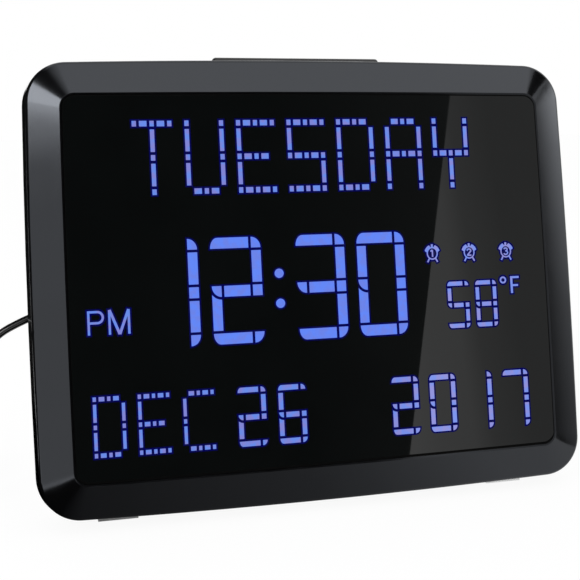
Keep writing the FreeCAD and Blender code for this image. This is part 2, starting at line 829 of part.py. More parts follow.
def housing_walls():
    """Tubs, bosses, posts, shelves and ribs that stand inside the rear housing."""
    tub = (recess_floor - recess_wall, case_depth)
    ring_radius = buzzer_radius + buzzer_gap + buzzer_rim
    made = [
        box(-ear_half, ear_half, *tub, -outer_height, recess_top + recess_wall),
        bay_block(bay_wall, bay_floor - pocket_wall, case_depth),
        pocket_block(pocket_wall, pocket_floor - pocket_wall),
        rod_y(buzzer_x, buzzer_z, back_inner - buzzer_ring, back_inner + past, ring_radius),
    ]
    made += [rod_y(s * key_post_x, key_z, key_board_back, back_inner + past, boss_radius) for s in (-1, 1)]
    made += [rod_y(x, z, bezel_depth, case_depth, case_boss_radius) for x, z in case_screws]
    shelf_low = snooze_board_low - shelf_drop
    shelf = (housing_y + shelf_front, back_inner + past, shelf_low, snooze_board_low)
    made += [box(x - shelf_half, x + shelf_half, *shelf) for x in (-shelf_x, shelf_x)]
    for s in (-1, 1):
        half = keyhole_head + keyhole_wall
        x, y0 = s * keyhole_x, back_inner - keyhole_depth
        top = keyhole_z + keyhole_rise + half
        made.append(box(x - half, x + half, y0, case_depth, keyhole_z - half, top))
    rib_y, half = back_inner - rib_height, rib_thick / 2
    for z in (rib_low, rib_middle, half_height - rib_drop):
        made.append(box(-half_width, half_width, rib_y, case_depth, z - half, z + half))
    for x in (rib_side - half_width, half_width - rib_side):
        made.append(box(x - half, x + half, rib_y, case_depth, -half_height, half_height))
    return made


def nail_recess():
    """Shallow hollow in the back where a fingernail gets under the battery door's end."""
    ball = Part.makeSphere(nail_radius, V(door_end_x, case_depth + nail_radius - nail_depth, bay_z))
    return ball.common(box(door_end_x - nail_radius, door_end_x, 0, case_depth + past, -outer_height, 0))


def housing_cuts():
    """Everything that is open in the rear housing."""
    out = case_depth + past
    half_w, half_d = snooze_width / 2 + key_gap, snooze_depth / 2 + key_gap
    hole_x, hole_z = key_width / 2 + key_gap, key_height / 2 + key_gap
    jack_span = (jack_z - jack_body / 2, jack_z + jack_body / 2)
    notch_z = jack_z - notch_drop
    buzzer_low = back_inner - buzzer_height
    notch_x = -half_width + wall + notch_reach
    made = [
        box(-recess_half, recess_half, recess_floor, out, -outer_height - past, recess_top),
        rod_x(-ear_half - past, ear_half + past, pivot_y, leg_pivot_z, pin_radius + pin_seat_gap),
        bay_block(0, bay_floor, out),
        bay_block(door_rebate, case_depth - door_thick - door_seat_gap, out),
        nail_recess(),
        pocket_block(0, pocket_floor),
        box(jack_x - past, jack_x + jack_length, pocket_floor, back_inner, *jack_span),
        box(-outer_width, notch_x, case_depth - notch_depth, out, notch_z, notch_z + notch_height),
        rod_y(buzzer_x, buzzer_z, buzzer_low - past, back_inner, buzzer_radius + buzzer_gap),
        box(-half_w, half_w, snooze_y - half_d, snooze_y + half_d, snooze_flange_top, outer_height),
    ]
    key_hole = (back_inner - join, out, key_z - hole_z, key_z + hole_z)
    made += [box(x - hole_x, x + hole_x, *key_hole) for x in key_xs]
    made += [rod_y(x, z, bezel_depth - past, out, clear_hole) for x, z in case_screws]
    made += [rod_y(x, z, screw_seat, out, head_radius + head_gap) for x, z in case_screws]
    post_hole = (key_board_back - past, back_inner - key_post_skin, screw_hole)
    made += [rod_y(s * key_post_x, key_z, *post_hole) for s in (-1, 1)]
    shelf_hole = (snooze_board_low - shelf_drop + shelf_skin, snooze_board_low + past, screw_hole)
    made += [rod_z(x, snooze_y, *shelf_hole) for x in (-shelf_x, shelf_x)]
    made += [rod_y(x, z, back_inner - past, out, sound_hole) for x, z in sound_holes]
    vent = (vent_x - vent_width / 2, vent_x + vent_width / 2, back_inner - past, out)
    for z in (vent_z - vent_pitch, vent_z, vent_z + vent_pitch):
        made.append(box(*vent, z - vent_slot / 2, z + vent_slot / 2))
    made += [pad_block(s, pad_gap) for s in (-1, 1)]
    for s in (-1, 1):
        x, deep = s * keyhole_x, back_inner - keyhole_depth + keyhole_wall
        made.append(rod_y(x, keyhole_z, deep, out, keyhole_head))
        made.append(keyhole_slot_block(x, keyhole_slot, back_inner, out))
        made.append(keyhole_slot_block(x, keyhole_head, deep, back_inner))
    return made


def make_spigot():
    """Rim that enters the bezel; its outside is the bottom of the groove."""
    outer = plate(case_line, flare - groove_depth, bezel_depth, housing_y)
    lip_y = bezel_depth - spigot_length
    inset = flare * (lip_y - bevel_drop) / (bezel_depth - bevel_drop) - wall - spigot_gap
    outer = outer.fuse(between(case_line(inset, lip_y), case_line(flare - wall - spigot_gap, bezel_depth)))
    return outer.cut(plate(case_line, flare - wall - spigot_thick, lip_y - past, housing_y + past))


def make_rear_housing():
    """Moulded back shell with the stand's recess, battery bay, plug pocket, key holes and ribs."""
    shell = between(case_line(flare, housing_y), case_line(flare - back_draft, case_depth))
    shell = shell.makeFillet(back_round, flat_edges(shell, case_depth))
    envelope = shell.fuse(plate(case_line, flare - groove_depth, bezel_depth, housing_y))
    shell = shell.cut(
        between(case_line(flare - wall, housing_y), case_line(flare - back_draft - wall, back_inner))
    )
    shell = shell.multiFuse([make_spigot()] + [piece.common(envelope) for piece in housing_walls()])
    for cut in housing_cuts():
        shell = shell.cut(cut)
    return shell.removeSplitter()


def make_case_screws():
    tip = ledge_back + case_screw_tip
    return Part.makeCompound([screw_y(x, z, screw_seat, tip) for x, z in case_screws])


def table_cut(shape):
    """Takes off what would lie below the table, before the lean is applied."""
    reach = face_width + face_height
    low = Part.makeBox(2 * reach, 2 * reach, reach, V(-reach, -reach, -reach))
    low.rotate(V(0, 0, 0), V(1, 0, 0), lean)
    low.translate(V(0, table_drop * lean_sin, -table_drop * lean_cos))
    return shape.cut(low)


def make_case_pads():
    """Two rubber pads let into the underside."""
    return Part.makeCompound([table_cut(pad_block(s, 0)) for s in (-1, 1)])


# ---- keys ------------------------------------------------------------------------------
def make_rear_key(x):
    """Cap with a softened top and a flange behind the wall."""
    half_w, half_h = key_width / 2, key_height / 2
    top, back = case_depth + key_proud, back_inner - key_gap
    span = (back - join, top, key_z - half_h, key_z + half_h)
    cap = rounded_bar(x - half_w, x + half_w, *span, key_round, V(0, 1, 0))
    cap = cap.makeFillet(key_edge_round, flat_edges(cap, top))
    w, h = half_w + key_flange, half_h + key_flange
    flange = box(x - w, x + w, back - flange_thick, back, key_z - h, key_z + h)
    return cap.fuse(flange).removeSplitter()


def make_snooze_bar():
    """Long bar on top, kept in by its flange."""
    w, d = snooze_width / 2, snooze_depth / 2
    top, low = half_height + snooze_proud, snooze_flange_top
    bar = rounded_bar(-w, w, snooze_y - d, snooze_y + d, low - join, top, snooze_corner, V(0, 0, 1))
    rim = [e for e in bar.Edges if all(abs(v.Z - top) < 1e-4 for v in e.Vertexes)]
    bar = bar.makeFillet(snooze_round, rim)
    w, d = w + key_flange, d + key_flange
    return bar.fuse(box(-w, w, snooze_y - d, snooze_y + d, low - flange_thick, low)).removeSplitter()


# ---- stand -----------------------------------------------------------------------------
def opened(shape):
    """Swings a piece of the folded leg out to its stop."""
    turned = shape.copy()
    turned.rotate(V(0, pivot_y, leg_pivot_z), V(1, 0, 0), leg_open)
    return turned


leg_low = leg_pivot_z - leg_reach + leg_clear
foot_top = leg_pivot_z - leg_reach + foot_length


def leg_half(z):
    """Half the leg's width at a height, when folded."""
    share = (z - leg_low) / (leg_pivot_z - leg_low)
    return leg_tip_width / 2 + (leg_width - leg_tip_width) / 2 * share


def leg_slab(z0, z1, y0, y1, inset=0.0):
    """Tapered slab of the leg between two heights."""
    low, high = leg_half(z0) - inset, leg_half(z1) - inset
    corners = [V(-low, y0, z0), V(low, y0, z0), V(high, y0, z1), V(-high, y0, z1)]
    return Part.Face(Part.makePolygon(corners + corners[:1])).extrude(V(0, y1 - y0, 0))


def make_stand_leg():
    """Ribbed plate hung on a barrel; above the pin a heel meets the recess floor and stops it."""
    plate_part = leg_slab(leg_low, leg_pivot_z, leg_front, leg_back)
    tips = [e for e in plate_part.Edges if e.CenterOfMass.z < leg_low + 1 and runs(e, V(0, 1, 0))]
    plate_part = plate_part.makeFillet(leg_corner, tips)
    top_z, foot_z = leg_pivot_z - barrel_radius - leg_web_top, foot_top + leg_web_foot
    step = (top_z - foot_z + leg_rib) / (leg_rib_count + 1)
    for k in range(leg_rib_count + 1):
        low = foot_z + k * step
        bay = leg_slab(low, low + step - leg_rib, leg_front - past, leg_back - leg_skin, leg_rim)
        plate_part = plate_part.cut(bay)
    half = leg_width / 2
    struts = [
        box(x - leg_rib / 2, x + leg_rib / 2, leg_front, leg_back - leg_skin, foot_z, top_z)
        for x in (-half / 2, 0, half / 2)
    ]
    heel_top = leg_pivot_z + heel_height
    heel = box(-half, half, leg_front, leg_back, leg_pivot_z, heel_top)
    back_edges = [e for e in flat_edges(heel, leg_back) if e.CenterOfMass.z > heel_top - 0.1]
    heel = heel.makeFillet(heel_round, back_edges)
    barrel = rod_x(-half, half, pivot_y, leg_pivot_z, barrel_radius)
    body = plate_part.multiFuse(struts + [heel, barrel]).removeSplitter()
    body = body.cut(rod_x(-half - past, half + past, pivot_y, leg_pivot_z, pin_radius + pin_gap))
    return opened(body).cut(foot_block())


def foot_block():
    """The rubber foot's full block, in the open position."""
    half = leg_tip_width / 2 - leg_corner
    span = (leg_front - foot_proud, leg_back + foot_proud)
    return opened(box(-half, half, *span, leg_low - foot_length, foot_top))


def make_leg_foot():
    return table_cut(foot_block())


def make_stand_pin():
    return rod_x(pin_end_gap - ear_half, ear_half - pin_end_gap, pivot_y, leg_pivot_z, pin_radius)


# ---- battery ---------------------------------------------------------------------------
cell_y = bay_floor + cell_radius + cell_seat_gap
cell_zs = (bay_z - cell_radius - cell_gap / 4, bay_z + cell_radius + cell_gap / 4)


def make_battery_door():
    """Lid flush with the back, with grip lines at one end."""
    body = bay_block(door_rebate - door_gap, case_depth - door_thick, case_depth)
    for k in range(grip_count):
        x = bay_centre_x - bay_half_x + grip_start + grip_pitch * k
        body = body.cut(rod_z(x, case_depth + grip_lift, bay_z - grip_half, bay_z + grip_half, grip_radius))
    return body


def make_cells():
    """Two cells, head to tail."""
    made = []
    for way, z in zip((1, -1), cell_zs):
        flat = bay_centre_x - way * cell_length / 2
        neck = flat + way * (cell_length - nub_length)
        tip = flat + way * cell_length
        can = rod_x(min(flat, neck), max(flat, neck), cell_y, z, cell_radius)
        made.append(fuse([can, rod_x(min(neck, tip), max(neck, tip), cell_y, z, nub_radius)]))
    return Part.makeCompound(made)


def make_battery_contacts():
    """A leaf at each end of each cell: a wide cone presses the flat end, a narrow one the nub."""
    made = []
    half = contact_size / 2
    for way, z in zip((1, -1), cell_zs):
        for end in (-1, 1):
            wall_x = bay_centre_x + end * bay_half_x
            leaf_x = wall_x - end * contact_thick
            tip_x = bay_centre_x + end * cell_length / 2
            span = (cell_y - half, cell_y + half, z - half, z + half)
            leaf = box(min(wall_x, leaf_x), max(wall_x, leaf_x), *span)
            wide, narrow = spring_radii if end == -way else button_radii
            cone = Part.makeCone(wide, narrow, abs(tip_x - leaf_x), V(leaf_x, cell_y, z), V(-end, 0, 0))
            made.append(fuse([leaf, cone]))
    return Part.makeCompound(made)


# ---- sound and sensing -----------------------------------------------------------------
def make_buzzer():
    body = rod_y(buzzer_x, buzzer_z, back_inner - buzzer_height, back_inner, buzzer_radius)
    return body.cut(rod_y(buzzer_x, buzzer_z, back_inner - past, back_inner + past, buzzer_port))


def make_temperature_sensor():
    """Small bead on the web between two vent slots."""
    z, half = vent_z + vent_pitch / 2, (vent_pitch - vent_slot) / 2 - sensor_inset
    x0 = vent_x - sensor_width / 2
    return box(x0, x0 + sensor_width, back_inner - sensor_depth, back_inner, z - half, z + half)


# ---- power -----------------------------------------------------------------------------
def make_dc_jack():
    half = jack_body / 2
    body = box(jack_x, jack_x + jack_length, pocket_floor, back_inner, jack_z - half, jack_z + half)
    body = body.cut(rod_x(jack_x - past, jack_x + jack_depth, plug_y, jack_z, jack_radius))
    pin_x = jack_x + jack_pin_back
    return body.fuse(rod_x(pin_x, jack_x + jack_depth + join, plug_y, jack_z, jack_pin_radius))


def ringed(shape, places, width, depth_radius, outer_radius):
    """Cuts shallow rings round a bar that runs across the clock."""
    for x in places:
        ring = rod_x(x, x + width, plug_y, jack_z, outer_radius + past)
        shape = shape.cut(ring.cut(rod_x(x, x + width, plug_y, jack_z, depth_radius)))
    return shape


def make_dc_plug():
    """Barrel in the jack and the moulded grip behind it."""
    grip_x = jack_x - plug_gap
    grip = rod_x(grip_x - plug_length, grip_x, plug_y, jack_z, plug_radius)
    ends = [e for e in grip.Edges if e.Closed and e.CenterOfMass.x < grip_x - plug_length / 2]
    grip = grip.makeFillet(plug_round, ends)
    rings = [grip_x - plug_ring_start - plug_ring_pitch * k for k in range(plug_ring_count)]
    grip = ringed(grip, rings, plug_ring_width, plug_radius - plug_ring_depth, plug_radius)
    barrel = rod_x(grip_x - join, jack_x + jack_depth - plug_short, plug_y, jack_z, plug_barrel_radius)
    return grip.fuse(barrel).cut(rod_x(jack_x, jack_x + jack_depth, plug_y, jack_z, plug_bore_radius))


def make_strain_relief():
    """Tapered sleeve between grip and cord, with rings cut round it."""
    sleeve = rod_x(relief_x, relief_x + relief_length, plug_y, jack_z, relief_tip_radius, relief_radius)
    pitch = relief_length / (relief_rings + 1)
    places = [relief_x + pitch * (k + 1) - relief_ring / 2 for k in range(relief_rings)]
    return ringed(sleeve, places, relief_ring, cord_radius + relief_core, relief_radius)


# ---- onto the table --------------------------------------------------------------------
def leaned(point):
    """Where a point of the upright model comes to lie once the clock leans on the table."""
    back = point.y * lean_cos + point.z * lean_sin
    return V(point.x, back, point.z * lean_cos - point.y * lean_sin + table_drop)


def lean_back(shape):
    turned = shape.copy()
    turned.rotate(V(0, 0, 0), V(1, 0, 0), -lean)
    turned.translate(V(0, 0, table_drop))
    return turned


# ---- cord and wall adapter, laid on the table ------------------------------------------
cord_exit = leaned(V(relief_x, plug_y, jack_z))
cord_points = [cord_exit + V(*step) for step in cord_route]
cord_points += [V(cord_exit.x + x, cord_exit.y + y, cord_radius) for x, y in cord_landing]
outer_turn = coil_radius + coil_pitch * (coil_rows - 1) / 2
coil_x = cord_points[-1].x - coil_stub
coil_y = cord_points[-1].y - outer_turn
tail_x = coil_x + outer_turn
tail_y = coil_y + coil_stub
tail_z = cord_radius + coil_pitch * (coil_layers - 1)
adapter_y = tail_y + tail_length + relief_length
adapter_x = tail_x - adapter_length / 2


def tube(points, radius):
    """Straight runs joined by tangent arcs, each arc as large as its two runs allow."""
    edges, radii = [], []
    start = points[0]
    length = 0.0
    for before, corner, after in zip(points, points[1:], points[2:]):
        back, ahead = before - corner, after - corner
        short = min(back.Length, ahead.Length)
        turn = math.pi - back.getAngle(ahead)
        reach = 0.45 * short
        bend = reach / math.tan(turn / 2)
        back.normalize()
        ahead.normalize()
        enter, leave = corner + back * reach, corner + ahead * reach
        inward = back + ahead
        inward.normalize()
        middle = corner + inward * (bend / math.cos(turn / 2) - bend)
        edges.append(Part.LineSegment(start, enter).toShape())
        edges.append(Part.Arc(enter, middle, leave).toShape())
        length += (enter - start).Length + bend * turn
        radii.append(bend)
        start = leave
    edges.append(Part.LineSegment(start, points[-1]).toShape())
    length += (points[-1] - start).Length
    path = Part.Wire(edges)
    ring = Part.Wire([Part.Circle(points[0], points[1] - points[0], radius).toShape()])
    solid = path.makePipeShell([ring], True, False)
    return solid, length, radii


def make_cord_coil():
    """The outer shape of the wound turns, with a straight stub where the cord joins and leaves."""
    half = coil_pitch * coil_rows / 2
    height = coil_pitch * coil_layers
    ring = Part.makeCylinder(coil_radius + half, height, V(coil_x, coil_y, 0))
    ring = ring.cut(Part.makeCylinder(coil_radius - half, height + 2 * past, V(coil_x, coil_y, -past)))
    ring = ring.makeFillet(cord_radius * 0.9, [e for e in ring.Edges if e.Closed])
    joins = V(coil_x, coil_y + outer_turn, cord_radius)
    first = Part.makeCylinder(cord_radius, coil_stub, joins, V(1, 0, 0))
    last = Part.makeCylinder(cord_radius, coil_stub, V(tail_x, coil_y, tail_z), V(0, 1, 0))
    return fuse([ring, first, last])


def make_cord_tail():
    return Part.makeCylinder(cord_radius, tail_length, V(tail_x, tail_y, tail_z), V(0, 1, 0))


def make_adapter_relief():
    start = V(tail_x, tail_y + tail_length, tail_z)
    sleeve = Part.makeCone(relief_tip_radius, relief_radius, relief_length, start, V(0, 1, 0))
    pitch = relief_length / (relief_rings + 1)
    for k in range(relief_rings):
        place = start + V(0, pitch * (k + 1) - relief_ring / 2, 0)
        ring = Part.makeCylinder(relief_radius + past, relief_ring, place, V(0, 1, 0))
        core = Part.makeCylinder(cord_radius + relief_core, relief_ring, place, V(0, 1, 0))
        sleeve = sleeve.cut(ring.cut(core))
    return sleeve


def make_adapter_case():
    """Rounded block in two halves, lying on its side."""
    block = Part.makeBox(adapter_length, adapter_depth, adapter_height, V(adapter_x, adapter_y, 0))
    inner = block.makeOffsetShape(-seam_depth, 1e-3)
    body = block.makeFillet(adapter_round, block.Edges)
    core = inner.makeFillet(adapter_round - seam_depth, inner.Edges)
    seam_x = adapter_x + adapter_seam
    corner = V(seam_x, adapter_y - past, -past)
    slab = Part.makeBox(seam_width, adapter_depth + 2 * past, adapter_height + 2 * past, corner)
    return body.cut(slab.cut(core))


def make_adapter_blades():
    """Two flat blades, side by side across the cord, each with a hole near its tip."""
    y, x0 = adapter_y + adapter_depth / 2, adapter_x - blade_length
    made = []
    for s in (-1, 1):
        z = adapter_height / 2 + s * blade_spacing / 2
        corner = V(x0, y - blade_width / 2, z - blade_thick / 2)
        blade = Part.makeBox(blade_length, blade_width, blade_thick, corner)
        tips = [e for e in blade.Edges if e.CenterOfMass.x < x0 + 1 and runs(e, V(0, 0, 1))]
        blade = blade.makeFillet(blade_round, tips)
        through = V(x0 + blade_hole_end, y, z - blade_thick)
        made.append(blade.cut(Part.makeCylinder(blade_hole, 2 * blade_thick, through)))
    return Part.makeCompound(made)


# ---- build -----------------------------------------------------------------------------
upright_parts = {
    "front_bezel": make_front_bezel(),
    "lens": make_lens(),
    "lens_tape": make_lens_tape(),
    "lcd_panel": make_lcd_panel(),
    "diffuser": make_diffuser(),
    "light_guide": make_light_guide(),
    "reflector": make_reflector(),
    "backlight_board": make_backlight_board(),
    "backlight_leds": make_backlight_leds(),
    "display_tray": make_display_tray(),
    "tray_screws": make_tray_screws(),
    "display_ribbon": make_display_ribbon(),
    "main_board": make_main_board(),
    "board_parts": make_board_parts(),
    "board_screws": make_board_screws(),
    "key_board": make_key_board(),
    "key_switches": make_key_switches(),
    "key_board_screws": make_key_board_screws(),
    "key_ribbon": make_key_ribbon(),
    "snooze_board": make_snooze_board(),
    "snooze_switches": make_snooze_switches(),
    "snooze_board_screws": make_snooze_board_screws(),
    "snooze_ribbon": make_snooze_ribbon(),
    "rear_housing": make_rear_housing(),
    "case_screws": make_case_screws(),
    "case_pads": make_case_pads(),
    "snooze_bar": make_snooze_bar(),
    "stand_leg": make_stand_leg(),
    "leg_foot": make_leg_foot(),
    "stand_pin": make_stand_pin(),
    "battery_door": make_battery_door(),
    "cells": make_cells(),
    "battery_contacts": make_battery_contacts(),
    "buzzer": make_buzzer(),
    "temperature_sensor": make_temperature_sensor(),
    "dc_jack": make_dc_jack(),
    "dc_plug": make_dc_plug(),
    "plug_strain_relief": make_strain_relief(),
}
for number, key_x in enumerate(key_xs, 1):
    upright_parts["rear_key_%d" % number] = make_rear_key(key_x)

parts = {name: lean_back(shape) for name, shape in upright_parts.items()}
power_cord, cord_length, cord_radii = tube(cord_points, cord_radius)
parts["power_cord"] = power_cord
parts["cord_coil"] = make_cord_coil()
parts["cord_tail"] = make_cord_tail()
parts["adapter_strain_relief"] = make_adapter_relief()
parts["adapter_case"] = make_adapter_case()
parts["adapter_blades"] = make_adapter_blades()

# the frame's zero: the middle of the clock's footprint, on the table
outer_box = Part.makeCompound([parts[n] for n in ("front_bezel", "rear_housing", "stand_leg", "leg_foot")])
outer_box = outer_box.optimalBoundingBox(False, False)
middle_y = (outer_box.YMin + outer_box.YMax) / 2
for shape in parts.values():
    shape.translate(V(0, -middle_y, 0))

os.makedirs("parts", exist_ok=True)
for name, shape in parts.items():
    shape.exportStep("parts/%s.step" % name)

coil_length = 2 * math.pi * coil_radius * coil_turns + 2 * coil_stub
section = math.pi * cord_radius**2
print("cord bends, mm:", [round(bend, 1) for bend in cord_radii])
print("cord tube volume %.1f, section times length %.1f" % (power_cord.Volume, section * cord_length))
print("cord length, mm: %.0f" % (cord_length + coil_length + tail_length))
print("cord points, mm:", [(round(p.x, 2), round(p.y - middle_y, 2), round(p.z, 2)) for p in cord_points])
print("zero moved back by %.2f mm" % middle_y)
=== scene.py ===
import json
import math

import bmesh
import bpy
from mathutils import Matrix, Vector
from mathutils.geometry import delaunay_2d_cdt


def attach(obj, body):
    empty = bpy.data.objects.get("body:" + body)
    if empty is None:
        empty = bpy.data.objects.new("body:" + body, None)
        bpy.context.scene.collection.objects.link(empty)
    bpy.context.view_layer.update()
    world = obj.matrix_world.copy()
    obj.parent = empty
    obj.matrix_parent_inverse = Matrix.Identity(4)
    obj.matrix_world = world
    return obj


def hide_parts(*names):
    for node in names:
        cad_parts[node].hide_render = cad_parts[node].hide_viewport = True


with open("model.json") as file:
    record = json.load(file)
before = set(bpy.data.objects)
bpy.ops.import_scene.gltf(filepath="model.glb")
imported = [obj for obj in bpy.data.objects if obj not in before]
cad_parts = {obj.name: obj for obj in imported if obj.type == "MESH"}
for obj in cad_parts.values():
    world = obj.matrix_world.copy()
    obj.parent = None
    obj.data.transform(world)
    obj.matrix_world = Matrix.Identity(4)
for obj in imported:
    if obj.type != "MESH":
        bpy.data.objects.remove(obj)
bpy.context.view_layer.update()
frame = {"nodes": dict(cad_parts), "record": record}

# The looks of the day clock: its cord as one smooth curve, the lit readout and a painted shade line
# along the window's edge (the shadow of the gap between window and bezel, widest below), a finish
# for every piece, and the photograph's camera with a plain studio. Places on the clock are in
# millimetres, times MM, and those in the studio are in metres.
MM = 0.001
scene = bpy.context.scene
scene.view_settings.view_transform = "Standard"


def linked(name, data):
    """New object in the scene."""
    obj = bpy.data.objects.new(name, data)
    scene.collection.objects.link(obj)
    return obj


def new_piece(name, data):
    """New piece of the clock. All of those made here ride on the case."""
    obj = linked(name, data)
    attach(obj, "case")
    return obj


def aim(obj, place, way):
    """Puts a camera or a lamp at a place and turns it to look along a way."""
    obj.location = place
    obj.rotation_mode = "QUATERNION"
    obj.rotation_quaternion = way.to_track_quat("-Z", "Y")


# ---- camera ----------------------------------------------------------------------------
CAMERA_PLACE = (-118.58, -424.15, 167.27)
CAMERA_YAW = 0.25486  # radians to the right of +Y
CAMERA_PITCH = 0.14375  # radians downwards
CAMERA_SENSOR = 36.0  # millimetres, as the lens
CAMERA_LENS = 65.17
CAMERA_SHIFT = -40 / 580  # pixels of the photograph, by its width
CAMERA_NEAR = 0.01  # metres

camera_data = bpy.data.cameras.new("camera")
camera_data.sensor_width = CAMERA_SENSOR
camera_data.lens = CAMERA_LENS
camera_data.shift_y = CAMERA_SHIFT
camera_data.clip_start = CAMERA_NEAR
camera = linked("camera", camera_data)
ahead = Vector(
    (
        math.sin(CAMERA_YAW) * math.cos(CAMERA_PITCH),
        math.cos(CAMERA_YAW) * math.cos(CAMERA_PITCH),
        -math.sin(CAMERA_PITCH),
    )
)
aim(camera, Vector(CAMERA_PLACE) * MM, ahead)
scene.camera = camera

# ---- cord ------------------------------------------------------------------------------
CORD_RADIUS = 1.5
CORD_STEPS = 6  # of the tube between two points
CORD_ROUNDNESS = 5  # Blender's steps in a quarter of the tube's section
# straight out of the strain relief, through the notch, down and over the table
CORD_ROUTE = [
    (-100.3, 4.05, 82.48),
    (-107.3, 4.05, 82.3),
    (-117.5, 3.85, 78.9),
    (-129.5, 3.35, 73.0),
    (-136.5, 2.65, 62.0),
    (-138.6, 2.05, 45.5),
    (-139.6, 2.15, 28.2),
    (-143.9, 2.95, 15.4),
    (-157.3, 4.05, 1.5),
    (-172.3, 4.05, 1.5),
]
COIL_CENTRE = (-184.3, -17.0)
COIL_ROWS = (21.05, 18.0, 14.95)
COIL_LAYERS = (1.5, 4.55, 7.6, 10.65)
COIL_TURNS = 11.75
COIL_STEPS = 24  # points in each turn
COIL_SHIFT = 0.26  # share of a turn in which the cord passes to the next row or layer
COIL_SWELL = 1.3  # how far it bows out while it climbs to the next layer
# off the coil's top, back to the adapter's strain relief
CORD_END = [(-163.25, -11.0, 10.65), (-163.25, -5.0, 10.65), (-163.25, 0.0, 10.65)]


def smooth(t):
    return t * t * (3 - 2 * t)


def coil_places():
    """Radius and height of each whole turn, in the order in which they are wound."""
    places = []
    for k, height in enumerate(COIL_LAYERS):
        rows = COIL_ROWS if k % 2 == 0 else COIL_ROWS[::-1]
        places += [(row, height) for row in rows]
    return places


def coil_points():
    """Points round the coil, seen from above against the clock, from the side nearest +Y."""
    places = coil_places()
    made = []
    for i in range(1, int(COIL_TURNS * COIL_STEPS) + 1):
        turn, share = divmod(i / COIL_STEPS, 1.0)
        radius, height = places[int(turn)]
        late = (share - (1 - COIL_SHIFT)) / COIL_SHIFT
        if late > 0 and int(turn) + 1 < len(places):
            next_radius, next_height = places[int(turn) + 1]
            radius += (next_radius - radius) * smooth(late)
            height += (next_height - height) * smooth(late)
            if next_height != places[int(turn)][1]:
                way = 1 if radius > COIL_ROWS[1] else -1  # away from the middle row
                radius += way * COIL_SWELL * math.sin(math.pi * late)
        angle = math.pi / 2 + 2 * math.pi * i / COIL_STEPS
        made.append(
            (
                COIL_CENTRE[0] + radius * math.cos(angle),
                COIL_CENTRE[1] + radius * math.sin(angle),
                height,
            )
        )
    return made


def make_cord():
    points = CORD_ROUTE + coil_points() + CORD_END
    curve = bpy.data.curves.new("cord", "CURVE")
    curve.dimensions = "3D"
    curve.bevel_depth = 1.0  # times each point's radius, which also keeps the curve's box tight
    curve.bevel_resolution = CORD_ROUNDNESS
    curve.use_fill_caps = True
    curve.resolution_u = CORD_STEPS
    spline = curve.splines.new("NURBS")
    spline.points.add(len(points) - 1)
    for place, point in zip(points, spline.points):
        point.co = (*(Vector(place) * MM), 1.0)
        point.radius = CORD_RADIUS * MM
    spline.order_u = 3
    spline.use_endpoint_u = True
    obj = new_piece("cord", curve)
    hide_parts("power_cord", "cord_coil", "cord_tail")
    return obj


cord = make_cord()

# ---- the face as a drawing board -------------------------------------------------------
LEAN = math.radians(11.4)
FACE_CENTRE = Vector((0.0, -18.17, 94.716))  # middle of the window's front
FACE_UP = Vector((0.0, math.sin(LEAN), math.cos(LEAN)))
FACE_OUT = Vector((0.0, -math.cos(LEAN), math.sin(LEAN)))
MERGE_WITHIN = 1e-5  # points of a plate that lie closer become one
MITRE_LIMIT = 0.5  # keeps the corners of a grown outline short


def on_face(p, q, out):
    """Place in metres of a point p to the right, q up and out in front of the window, in mm."""
    return (FACE_CENTRE + Vector((p, 0, 0)) + q * FACE_UP + out * FACE_OUT) * MM


def plate(name, shapes, low, high):
    """Flat plate on the window: the union of some outlines, from low to high in front of it."""
    points, faces = [], []
    for shape in shapes:
        faces.append(list(range(len(points), len(points) + len(shape))))
        points += [Vector(p) for p in shape]
    flat, _, tiles, _, _, sources = delaunay_2d_cdt(points, [], faces, 0, MERGE_WITHIN)
    tiles = [tile for tile, source in zip(tiles, sources) if source]
    mesh = bmesh.new()
    top = [mesh.verts.new(on_face(p[0], p[1], high)) for p in flat]
    bottom = [mesh.verts.new(on_face(p[0], p[1], low)) for p in flat]
    for tile in tiles:
        mesh.faces.new([top[i] for i in tile])
        mesh.faces.new([bottom[i] for i in reversed(tile)])
    rims = {}  # sides that only one tile has
    for tile in tiles:
        for a, b in zip(tile, tile[1:] + tile[:1]):
            if rims.pop((b, a), None) is None:
                rims[(a, b)] = True
    for a, b in rims:
        mesh.faces.new([top[b], top[a], bottom[a], bottom[b]])
    bmesh.ops.delete(mesh, geom=[v for v in mesh.verts if not v.link_faces], context="VERTS")
    bmesh.ops.recalc_face_normals(mesh, faces=mesh.faces)
    data = bpy.data.meshes.new(name)
    mesh.to_mesh(data)
    mesh.free()
    return new_piece(name, data)


def grown(shape, by):
    """An outline with every side moved outwards."""
    size = len(shape)
    area = sum(
        shape[i][0] * shape[(i + 1) % size][1] - shape[(i + 1) % size][0] * shape[i][1]
        for i in range(size)
    )
    way = 1 if area > 0 else -1
    made = []
    for i in range(size):
        before, here, after = (Vector(shape[k % size]) for k in (i - 1, i, i + 1))
        one, two = (here - before).normalized(), (after - here).normalized()
        one = Vector((one.y, -one.x)) * way
        two = Vector((two.y, -two.x)) * way
        middle = one + two
        made.append(tuple(here + middle * (by / max(MITRE_LIMIT, middle.dot(one)))))
    return made


def block(x0, x1, y0, y1):
    """Outline of a rectangle."""
    return [(x0, y0), (x1, y0), (x1, y1), (x0, y1)]


def arc(cx, cy, rx, ry, start, end, steps=8):
    """Points along part of an ellipse, angles in degrees."""
    made = []
    for k in range(steps + 1):
        angle = math.radians(start + (end - start) * k / steps)
        made.append((cx + rx * math.cos(angle), cy + ry * math.sin(angle)))
    return made


def band(outer, inner):
    """Quads between two arcs with as many points."""
    return [[a, b, d, c] for a, b, c, d in zip(outer, outer[1:], inner, inner[1:])]


